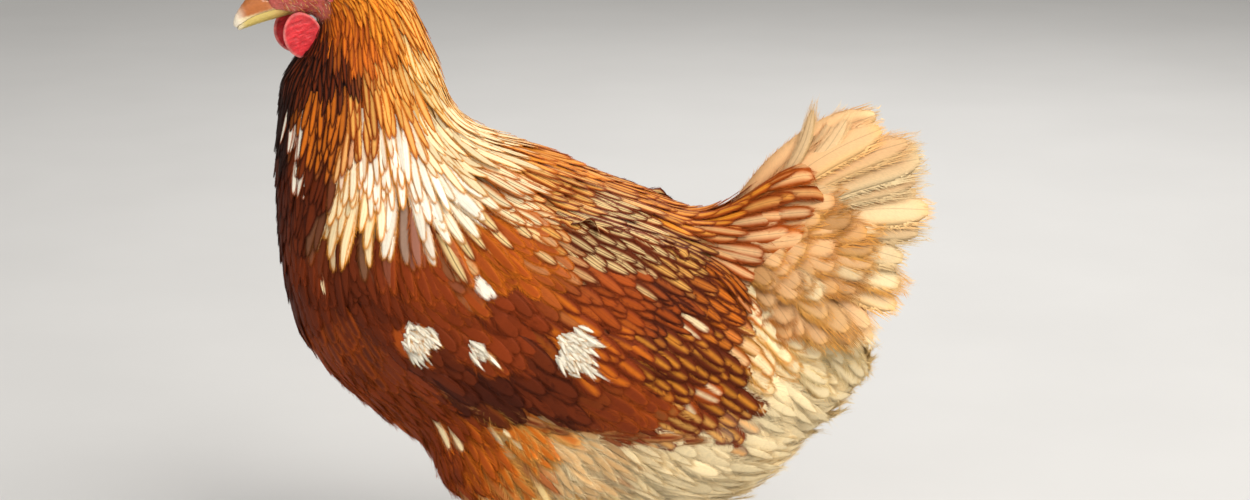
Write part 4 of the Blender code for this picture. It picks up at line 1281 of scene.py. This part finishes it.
# Sections of the bill in the head's own frame, from its root to its tip: x, top, lower edge, half width.
UPPER_BILL = (
    (-9, -3, -13.2, 7.8), (-22, 1.2, -12.2, 7), (-33, -2, -12.6, 5.4), (-42, -8.7, -15, 3.4),
    (-45.6, -13.5, -16.6, 1.2),
)
LOWER_BILL = ((-9, -12.8, -19.5, 8.0), (-28, -11.8, -18.8, 6.0), (-38, -13.6, -18.8, 4.3), (-44, -16.2, -19.0, 2.0))
BILL_ARCH = 0.68  # the share of a section's points on its arch; the rest cross the flat side


def make_bill():
    """The upper and lower bill, with a nostril under a flap of skin on each side of the upper one."""
    rows, cols = 110, 84
    around = np.linspace(0, 1, cols, endpoint=False)
    swing = np.pi * around[around < BILL_ARCH] / BILL_ARCH
    back = (around[around >= BILL_ARCH] - BILL_ARCH) / (1 - BILL_ARCH)
    for name, sections, upper in (("upper", UPPER_BILL, True), ("lower", LOWER_BILL, False)):
        points = []
        for u in np.linspace(0, 1, rows):
            x, top, edge, half = through(sections, [u])[0]
            close = math.sqrt(max(1e-4, 1 - max(0, (u - 0.93) / 0.07) ** 2))
            half, middle = half * close, (top + edge) / 2
            top, edge = middle + (top - middle) * close, middle + (edge - middle) * close
            if upper:
                arch_y = -half * np.cos(swing) * (1 - 0.12 * np.sin(swing) ** 3)
                arch_z, flat_z = edge + (top - edge) * np.sin(swing) ** 0.85, edge + 0.9 * np.sin(np.pi * back)
            else:
                arch_y = -half * np.cos(swing)
                arch_z, flat_z = top - (top - edge) * np.sin(swing) ** 0.8, top - 0.8 * np.sin(np.pi * back)
            y = np.concatenate([arch_y, half * (1 - 2 * back)])
            points.append(np.stack([np.full(cols, x), y, np.concatenate([arch_z, flat_z])], axis=1))
        flat = np.array(points).reshape(-1, 3)
        x, y, z = flat.T
        if upper:
            away = np.hypot((x + 22.5) / 2.9, (z + 4.6 + 0.1 * (x + 22)) / 1.25)
            dip = np.exp(-(away**4)) * (np.abs(y) > 2.0)
            flap = np.exp(-(((x + 21.0) / 5.0) ** 2 + ((z + 2.4) / 1.7) ** 2)) * (np.abs(y) > 1.5)
            flat[:, 1] += np.sign(y) * (1.1 * flap - 1.7 * dip)
            tint = painted(
                "#C98A72",
                ("#B4672F", smooth_step(-12, -26, x)),
                ("#8E5426", 0.6 * smooth_step(-26, -36, x) * smooth_step(-8, 0, z)),
                ("#E8D6A0", 0.85 * smooth_step(-10.8, -12.4, z)),
                ("#F2E6CF", smooth_step(-36, -45, x)),
                ("#D08878", flap * 0.7),
                # the nostril's hollow painted near black: painted shade in the hole
                ("#2A0E08", dip * 1.3),
            )
        else:
            tint = painted(
                "#C9A35A",
                ("#D8BF6A", smooth_step(-12, -30, x)),
                ("#9A8A4A", 0.5 * smooth_step(-17.2, -18.8, z)),
                ("#EFE0B8", smooth_step(-38, -44, x)),
            )
        flat[:, 2] += 0.10 * np.sin(x * 2.3) * smooth_step(-14, -20, x) * (1 if upper else 0.5)
        piece = new_object(f"bill_{name}", from_head(flat), quads(rows, cols), HORN)
        put_colour(piece.data, "tint", tint)
        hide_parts(f"beak_{name}")


def leaf(name, centre, half_x, half_z, thick, taper, lean, side, node_name, colours, seed, rim=0.0, rows=56,
         cols=120):
    """A hanging lobe of bare skin: two wrinkled faces with a rounded rim. colours are (middle, rim, root)."""
    net = []
    for r in np.concatenate([np.linspace(0.001, 0.9, rows - 10), 1 - 0.1 * (1 - np.linspace(0.1, 1, 10)) ** 2]):
        turn = np.linspace(0, 2 * np.pi, cols, endpoint=False)
        net.append(np.stack([r * np.cos(turn), r * np.sin(turn), np.full(cols, r)], axis=1))
    net = np.array(net).reshape(-1, 3)
    sheets, tints = [], []
    for face in (-1, 1):
        a, c, r = net.T
        x = half_x * a * (1 - taper * np.maximum(c, 0) ** 2)
        z = half_z * c
        body = np.sqrt(np.clip(1 - r**2, 0, 1)) ** 0.6
        swell = 1 + rim * np.exp(-(((r - 0.9) / 0.07) ** 2))
        y = face * thick * body * swell
        y = y + lean * (half_z - z) / (2 * half_z) + 0.06 * half_x * a**2
        flat = np.stack([x, y, z], axis=1)
        fold = waves(flat * (0.35, 0.0, 1.0) + (0, face * 7, 0), 1.9, seed, 2)
        ruck = waves(flat * (1, 0, 1), 6.0, seed + 5, 2)
        pimple = waves(flat + (0, face * 5, 0), 0.9, seed + 9, 1)
        flat[:, 1] += face * (0.34 * fold + 0.08 * pimple) * body + 0.35 * ruck * (1 - c)
        middle, edge, root = colours
        tint = painted(middle, (edge, smooth_step(0.84, 0.98, r)), (root, 0.6 * smooth_step(0.3, 1.0, c)))
        # lighter on the raised folds and darker in their hollows: painted light and shade; also darker towards the rim
        tint = tint * (1 + 0.35 * fold - 0.2 * (1 - body))[:, None]
        sheets.append(flat)
        tints.append(np.clip(tint, 0, 1))
    faces = quads(rows, cols)
    verts = np.concatenate(sheets)
    verts[:, 1] *= side
    verts += (centre[0], side * centre[1], centre[2])
    both = np.concatenate([faces, faces[:, ::-1] + len(net)])
    piece = new_object(name, from_head(verts), both[:, ::side], COMB_SKIN)
    put_colour(piece.data, "tint", np.concatenate(tints))
    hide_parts(node_name)


def make_lobes():
    """The wattles below the bill, and the ear lobes."""
    bright = ("#CE2B33", "#E8807C", "#C23A3C")
    pale = ("#C8504A", "#D98880", "#C25A50")
    for label, side in SIDES.items():
        leaf(f"wattle_skin_{label}", (-10, 10, -31.5), 11.7, 14.0, 1.5, 0.12, 2.5, side, f"wattle_{label}", bright,
             side * 3.0, rim=0.25)
        leaf(f"earlobe_skin_{label}", (14, 15.6, -11), 5.2, 8.0, 1.8, 0.2, 1.0, side, f"earlobe_{label}", pale,
             4 + side, rows=30, cols=60)


# The comb in the head's own frame, x and z: the line it grows from, and its points.
COMB_BASE = ((-27, 0), (-22, 7), (-8, 11), (10, 13), (25, 12), (34, 17))
COMB_POINTS = ((-24, 15), (-15, 28), (-2, 37), (11, 39), (24, 35), (38, 27))
COMB_SUNK = 6  # how deep the blade goes into the crown


def make_comb():
    """The single comb: a serrated blade along the crown, pimpled, thin at its points."""
    cols, rows = 220, 46
    along = np.linspace(-27.5, 40, cols)
    base = np.interp(along, *zip(*COMB_BASE)) - COMB_SUNK
    peak_x, peak_z = np.array(COMB_POINTS, float).T
    envelope = np.interp(along, [-28, *peak_x, 39], [5, *peak_z, 19])
    gaps = (peak_x[:-1] + peak_x[1:]) / 2
    edges = np.array([-30, *gaps, 42])
    which = np.clip(np.searchsorted(edges, along) - 1, 0, len(peak_x) - 1)
    past_peak = along - peak_x[which]
    width = np.where(past_peak > 0, edges[which + 1] - peak_x[which], peak_x[which] - edges[which])
    off = np.abs(past_peak) / width
    notch = 1 - 0.46 * np.clip((np.sqrt(off**2 + 0.05) - 0.224) / 0.8, 0, 1) ** 1.35
    behind = 1 - np.sqrt(np.clip(1 - smooth_step(28, 41, along) ** 2, 0, 1))
    close = (1 - behind) * np.sqrt(smooth_step(-28.5, -25, along))
    top = base + (envelope - base) * notch * close + COMB_SUNK * behind
    base = base + COMB_SUNK * behind
    sheets, tints = [], []
    for face in (-1, 1):
        points = []
        for v in 1 - (1 - np.linspace(0, 1, rows)) ** 1.4:
            z = base + (top - base) * v
            lean = past_peak * 0.03 * v**2 - 5.0 * v**1.6 * np.clip((top - base - 8) / 24, 0, 1)
            rise = np.clip((z - 12) / 27, 0, 1)
            thick = 2.35 * (1 - 0.55 * rise) * np.sqrt(np.clip(1 - (v - 0.02) ** 6, 0, 1))
            ends = np.sqrt(np.clip(1 - np.abs((along - 6.2) / 33.9) ** 8, 0, 1))
            wave = 0.9 * np.sin(along / 6.5) * rise
            points.append(np.stack([along - lean, face * thick * ends + wave, z], axis=1))
        flat = np.array(points).reshape(-1, 3)
        pimple = waves(flat + (0, face * 9, 0), 1.1, 2.0, 1)
        crease = waves(flat * (1, 0, 0.5), 5.0, 7.0, 2)
        flat[:, 1] += face * (0.16 * pimple + 0.25 * crease)
        tint = painted("#B81E22", ("#CC4038", smooth_step(14, 38, flat[:, 2])))
        sheets.append(flat)
        # lighter on raised pimples and folds, darker between them: painted light and shade
        tints.append(np.clip(tint * (1 + 0.3 * pimple + 0.2 * crease)[:, None], 0, 1))
    # the two faces, the strip between them along the top, and the strips at both ends
    count = rows * cols
    faces = quads(rows, cols, closed=False)
    crown = np.arange((rows - 1) * cols, rows * cols)
    left, right = crown[:-1], crown[1:]
    strips = [np.stack([left, left + count, right + count, right], axis=1)]
    for column, order in ((0, 1), (cols - 1, -1)):
        low = np.arange(rows - 1) * cols + column
        strips.append(np.stack([low, low + cols, low + cols + count, low + count], axis=1)[:, ::order])
    both = np.concatenate([faces, faces[:, ::-1] + count, *strips])
    piece = new_object("comb_skin", from_head(np.concatenate(sheets)), both, COMB_SKIN)
    put_colour(piece.data, "tint", np.concatenate(tints))
    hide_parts("comb")


# An eyelid from its foot on the face to its edge on the eyeball: radius, and how far it stands out.
EYELID = (
    (8.8, -0.7), (8.0, 0.1), (7.3, 0.35), (6.8, 0.15), (6.2, 0.7), (5.6, 0.95), (5.1, 0.65), (4.8, 0.0), (4.7, -1.2),
)
LID_ROWS, LID_COLS = 30, 96


def make_eyeball(label, side):
    """A ball with a slight bulge of cornea: black pupil, orange iris, dark rim, each a ring about its axis."""
    rows, cols = 40, 48
    tilt = np.linspace(0.001, np.pi, rows)[:, None] + np.zeros(cols)
    turn = np.zeros((rows, 1)) + np.linspace(0, 2 * np.pi, cols, endpoint=False)
    bulge = 5.45 + 0.35 * np.exp(-((tilt / 0.55) ** 2))
    ball = np.stack([np.sin(tilt) * np.cos(turn), side * np.cos(tilt), np.sin(tilt) * np.sin(turn)], axis=-1)
    ball = (bulge[..., None] * ball).reshape(-1, 3) + (EYE_X, side * EYE_SIDE, EYE_Z)
    degrees = np.degrees(tilt).ravel()
    tint = painted(
        "#050303",
        ("#B4561A", smooth_step(17.5, 19.5, degrees)),
        ("#D98A2E", 0.6 * np.exp(-(((degrees - 27) / 6) ** 2))),
        ("#1A0A06", smooth_step(40, 46, degrees)),
    )
    piece = new_object(f"eyeball_{label}", from_head(ball), quads(rows, cols)[:, ::side], WET_EYE)
    put_colour(piece.data, "tint", tint)
    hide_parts(f"eye_{label}")


def make_eyelids(label, side):
    """Soft folds of bare skin round the eye, drawn to a corner ahead and behind."""
    angle = np.linspace(0, 2 * np.pi, LID_COLS, endpoint=False)
    foot = (EYE_X + 8.6 * np.cos(angle), np.full(LID_COLS, side * 60.0), EYE_Z + 8.6 * np.sin(angle))
    inward = HEAD[:3, :3] @ (0.0, -side, 0.0)
    outer_y = side * to_head(skin.shoot(from_head(np.stack(foot, axis=1)), inward)[0])[:, 1]
    rings = []
    for radius, out in through(EYELID, np.linspace(0, 1, LID_ROWS)):
        near = smooth_step(8.6, 5.6, radius)
        high = radius * (1 - 0.2 * near)
        long = radius * (1 + 0.13 * near * np.abs(np.cos(angle)) ** 6)
        y = outer_y * (1 - near) + 14.0 * near + out
        rings.append(np.stack([EYE_X + long * np.cos(angle), side * y, EYE_Z + high * np.sin(angle)], axis=1))
    lid = np.array(rings).reshape(-1, 3)
    wrinkle = waves(lid, 1.3, 3.0, 2)
    lid[:, 1] += side * 0.12 * wrinkle
    ring = np.repeat(np.linspace(0, 1, LID_ROWS), LID_COLS)
    tint = painted("#B84A42", ("#D08A7C", smooth_step(0.2, 0.7, ring)), ("#7A3A30", smooth_step(0.8, 1.0, ring)))
    faces = quads(LID_ROWS, LID_COLS)[:, ::-side]
    piece = new_object(f"eyelids_{label}", from_head(lid), faces, COMB_SKIN)
    # lighter on raised wrinkles, darker in their creases: painted light and shade
    put_colour(piece.data, "tint", np.clip(tint * (1 + 0.3 * wrinkle)[:, None], 0, 1))


make_bill()
make_lobes()
make_comb()
for label, side in SIDES.items():
    make_eyeball(label, side)
    make_eyelids(label, side)

# ---------------------------------------------------------------- legs and feet

STEP = {"left": -7, "right": 7}  # how far back each leg stands
LEG_SPREAD = 44  # how far each leg is from the mid plane
HOCK, ANKLE = (-8, 86), (-30, 12)  # x and z, before the step
# The shank from hock to ankle: how far along it, and its radius there.
SHANK = (
    (-0.06, 6.6), (0.0, 6.9), (0.12, 6.0), (0.3, 4.9), (0.5, 4.6), (0.7, 4.7), (0.86, 5.0), (1.0, 5.6), (1.06, 5.0),
)
# Each toe: its angle from straight ahead, its length and its radius.
TOES = {"inner": (-32, 33, 4.6), "middle": (0, 47, 4.9), "outer": (32, 36, 4.4), "hind": (168, 18, 4.0)}
TOE_TAPER = 0.68  # the radius at a toe's tip, as a share of that at its root
CLAW_LENGTH, CLAW_ROOT = 14.2, 2.35
ROUND_SCALE = 2.1  # how wide the small scales on the back of a limb are


def ridge(x, at, width):
    """A bump of height 1 where x is at."""
    return np.exp(-(((x - at) / width) ** 2))


def scaled_tube(points, radii, rows, cols, scute, belly=1.0):
    """A limb covered in scales: overlapping scutes down its front or top, small round scales behind.

    The first column faces the front or top. scute is the height of one scute, and belly how much the small scales
    stand out. Returns points, faces, and for each point how far it is raised and how far it faces the front."""
    line = through(points, np.linspace(0, 1, rows))
    thick = through([(r,) for r in radii], np.linspace(0, 1, rows))
    along = unit(np.gradient(line, axis=0))
    length = np.concatenate([[0], np.cumsum(np.linalg.norm(np.diff(line, axis=0), axis=1))])[:, None]
    upright = abs(along[rows // 2, 2]) > 0.6
    front = np.array((-1.0, 0, 0) if upright else (0, 0, 1.0))
    front = unit(front - along * (front * along).sum(axis=1, keepdims=True))
    side = np.cross(along, front)
    angle = np.linspace(0, 2 * np.pi, cols, endpoint=False)[None, :]
    facing = np.cos(angle)
    plate = smooth_step(0.1, 0.35, facing) * np.ones((rows, 1))
    step = (length / scute + 0.06 * np.sin(3 * angle)) % 1.0
    scutes = 0.42 * step**0.7 - 0.34 * (ridge(step, 0.0, 0.07) + ridge(step, 1.0, 0.05))
    down, round_it = length / ROUND_SCALE, angle * thick / ROUND_SCALE
    cells = np.abs(np.sin(np.pi * (down + 0.5 * round_it))) * np.abs(np.sin(np.pi * (down - 0.5 * round_it)))
    small = 0.32 * cells**0.5 - 0.12
    rise = plate * scutes + (1 - plate) * small * belly - 0.3 * ridge(facing, 0.22, 0.06)
    radius = thick + rise
    radius[[0, -1]] *= 0.05
    spoke = facing[..., None] * front[:, None] + np.sin(angle)[..., None] * side[:, None]
    co = line[:, None] + radius[..., None] * spoke
    return co.reshape(-1, 3), quads(rows, cols), rise.ravel(), np.broadcast_to(facing, rise.shape).ravel()


def leg_tint(rise, facing):
    """Yellow, paler on the raised middle of each scale, browner in the seams and pinker behind."""
    behind = 0.35 * smooth_step(0.0, -0.6, facing)
    return painted("#B98A3C", ("#E2C274", smooth_step(-0.25, 0.3, rise)), ("#D9B98A", behind))


def make_shank(label, out, shift):
    """The bare shank, from under the feathers of the thigh to the ankle."""
    points, radii = [], []
    for t, radius in SHANK:
        points.append((HOCK[0] + (ANKLE[0] - HOCK[0]) * t + shift, out, HOCK[1] + (ANKLE[1] - HOCK[1]) * t))
        radii.append(radius)
    co, faces, rise, facing = scaled_tube(points, radii, 210, 56, 4.3)
    piece = new_object(f"shank_scales_{label}", co, faces, LEG_SCALE)
    put_colour(piece.data, "tint", leg_tint(rise, facing))
    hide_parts(f"shank_{label}")


def toe(centre, way, length, radius, joints):
    """A toe that leaves the foot high, comes down to the floor and swells at each joint."""
    points, radii = [centre - way * 3 + (0, 0, 5.2)], [radius * 0.9]
    for k in range(2 * joints + 1):
        t = k / (2 * joints)
        thick = radius * (1 - (1 - TOE_TAPER) * t) * (1.05 if k % 2 == 0 else 0.92) - 0.15
        points.append(centre + way * length * t + (0, 0, thick - 0.7 + 1.6 * (1 - t) ** 2))
        radii.append(thick)
    end = radius * TOE_TAPER
    points.append(centre + way * (length + end * 0.75) + (0, 0, end * 0.75))
    radii.append(end * 0.55)
    co, faces, rise, facing = scaled_tube(points, radii, int(length * 2.6) + 16, 40, 3.1, 1.3)
    return co, faces, leg_tint(rise, facing)


def foot_ball(centre):
    """The lumpy pad that the toes spring from."""
    rows, cols = 26, 40
    theta = np.linspace(0.02, np.pi - 0.02, rows)[:, None] + np.zeros(cols)
    phi = np.zeros((rows, 1)) + np.linspace(0, 2 * np.pi, cols, endpoint=False)
    ball = np.stack([
        8.2 * np.sin(theta) * np.cos(phi), 7.2 * np.sin(theta) * np.sin(phi), 5.0 + 6.2 * np.cos(theta),
    ], axis=-1).reshape(-1, 3) + centre
    lump = waves(ball, 1.7, 1.0, 1)
    ball += unit(ball - centre - (0, 0, 5)) * (0.35 * lump)[:, None]
    return ball, quads(rows, cols)[:, ::-1], leg_tint(0.25 * lump, np.zeros(len(ball)))


def make_foot(label, side, centre):
    """The toes and the pad between them, as one scaly piece, and a claw on each toe."""
    parts = []
    for name, (angle, length, radius) in TOES.items():
        turn = math.radians(angle)
        way = np.array([-math.cos(turn), side * math.sin(turn), 0])
        parts.append(toe(centre, way, length, radius, 3 if name == "middle" else 2))
        make_claw(f"{label}_{name}", centre, way, length, radius * TOE_TAPER)
    parts.append(foot_ball(centre))
    all_co, all_faces, all_tint = zip(*parts)
    bases = np.cumsum([0] + [len(co) for co in all_co])
    co = np.concatenate(all_co)
    co[:, 2] = np.maximum(co[:, 2], 0.0)
    faces = np.concatenate([faces + base for faces, base in zip(all_faces, bases)])
    piece = new_object(f"toe_scales_{label}", co, faces, LEG_SCALE)
    put_colour(piece.data, "tint", np.concatenate(all_tint))
    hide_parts(f"foot_{label}")


def make_claw(name, centre, way, length, root):
    """A curved nail, flat below, resting on its tip."""
    rows, cols = 30, 22
    start = centre + way * (length + root * 0.35)
    side = np.array([-way[1], way[0], 0])
    up = np.array([0, 0, 1.0])
    t = np.linspace(0, 1, rows)
    height = root * 0.9 + 0.8 * np.sin(np.pi * t) - (root * 0.9 - 0.45) * t**1.6
    thick = CLAW_ROOT * (1 - t) ** 0.75 + 0.12
    line = start + way * (t * CLAW_LENGTH)[:, None] + up * height[:, None]
    angle = np.linspace(0, 2 * np.pi, cols, endpoint=False)
    drop = np.where(np.sin(angle) < 0, 0.55, 1.0) * np.sin(angle)
    co = line[:, None] + thick[:, None, None] * (0.8 * np.cos(angle)[:, None] * side + drop[:, None] * up)
    co = co.reshape(-1, 3)
    co[:, 2] = np.maximum(co[:, 2], 0.0)
    piece = new_object(f"nail_{name}", co, quads(rows, cols), HORN)
    put_colour(piece.data, "tint", painted("#A8865A", ("#E6D6B4", np.repeat(t, cols))))
    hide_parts(f"claw_{name}")


for label, side in SIDES.items():
    shift, out = STEP[label] - MIDDLE_X, side * LEG_SPREAD
    make_shank(label, out, shift)
    make_foot(label, side, np.array([ANKLE[0] + shift, out, 0.0]))

# ---------------------------------------------------------------- floor, light, camera

FLOOR_HALF = 6  # metres, like the places of lights and camera
# Each soft light: where it stands, how wide it is, its watts and its colour.
LIGHTS = {
    "key": ((0.9, -1.35, 2.2), 1.3, 60, (1.0, 0.96, 0.9)),
    "fill": ((-1.5, -1.8, 0.9), 2.0, 8, (1.0, 0.97, 0.93)),
    "bounce": ((1.3, -1.3, 0.25), 1.6, 6, (1.0, 0.97, 0.92)),
    "rim": ((0.5, 1.7, 1.7), 1.0, 22, (1.0, 0.98, 0.95)),
}
LIGHT_TARGET = (0, 0, 0.25)
CAMERA_TARGET, CAMERA_AWAY, CAMERA_RAISED = Vector((0.0251, 0, 0.26)), 1.5, math.radians(15)


def make_stage():
    """Pale matt board, barely mottled, so that it reads as a real surface without taking the eye."""
    finish, tree, shader = new_finish("pale_matt_floor", 0.85)
    grain = node(tree, "ShaderNodeTexNoise", [("Scale", 60.0), ("Detail", 5.0)]).outputs["Fac"]
    shade = node(tree, "ShaderNodeMapRange", [(0, grain), (3, 0.62), (4, 0.68)]).outputs[0]
    tree.links.new(shade, shader.inputs["Base Color"])
    mesh = bpy.data.meshes.new("floor")
    half = FLOOR_HALF
    mesh.from_pydata([(-half, -half, 0), (half, -half, 0), (half, half, 0), (-half, half, 0)], [], [(0, 1, 2, 3)])
    mesh.materials.append(finish)
    floor = bpy.data.objects.new("floor", mesh)
    bpy.context.scene.collection.objects.link(floor)


def aim(obj, at):
    """Turns a light or the camera to face a place."""
    obj.rotation_euler = (Vector(at) - obj.location).to_track_quat("-Z", "Y").to_euler()


def make_lights():
    """Four soft lights and a weak warm sky, as in a small studio."""
    for name, (place, size, power, colour) in LIGHTS.items():
        data = bpy.data.lights.new(name, "AREA")
        data.energy, data.size, data.color = power, size, colour
        light = bpy.data.objects.new(name, data)
        bpy.context.scene.collection.objects.link(light)
        light.location = place
        aim(light, LIGHT_TARGET)
    bpy.context.scene.view_settings.view_transform = "Standard"
    world = bpy.data.worlds.new("studio")
    world.use_nodes = True
    sky = world.node_tree.nodes["Background"]
    sky.inputs["Color"].default_value = (1.0, 0.97, 0.92, 1)
    sky.inputs["Strength"].default_value = 0.38
    bpy.context.scene.world = world


def make_camera():
    """The camera: square on to the hen's left side, raised a little and looking down at it."""
    data = bpy.data.cameras.new("camera")
    data.lens, data.sensor_width = 70, 36
    camera = bpy.data.objects.new("camera", data)
    bpy.context.scene.collection.objects.link(camera)
    back = Vector((0, -math.cos(CAMERA_RAISED), math.sin(CAMERA_RAISED)))
    camera.location = CAMERA_TARGET + back * CAMERA_AWAY
    aim(camera, CAMERA_TARGET)
    bpy.context.scene.camera = camera


make_stage()
make_lights()
make_camera()
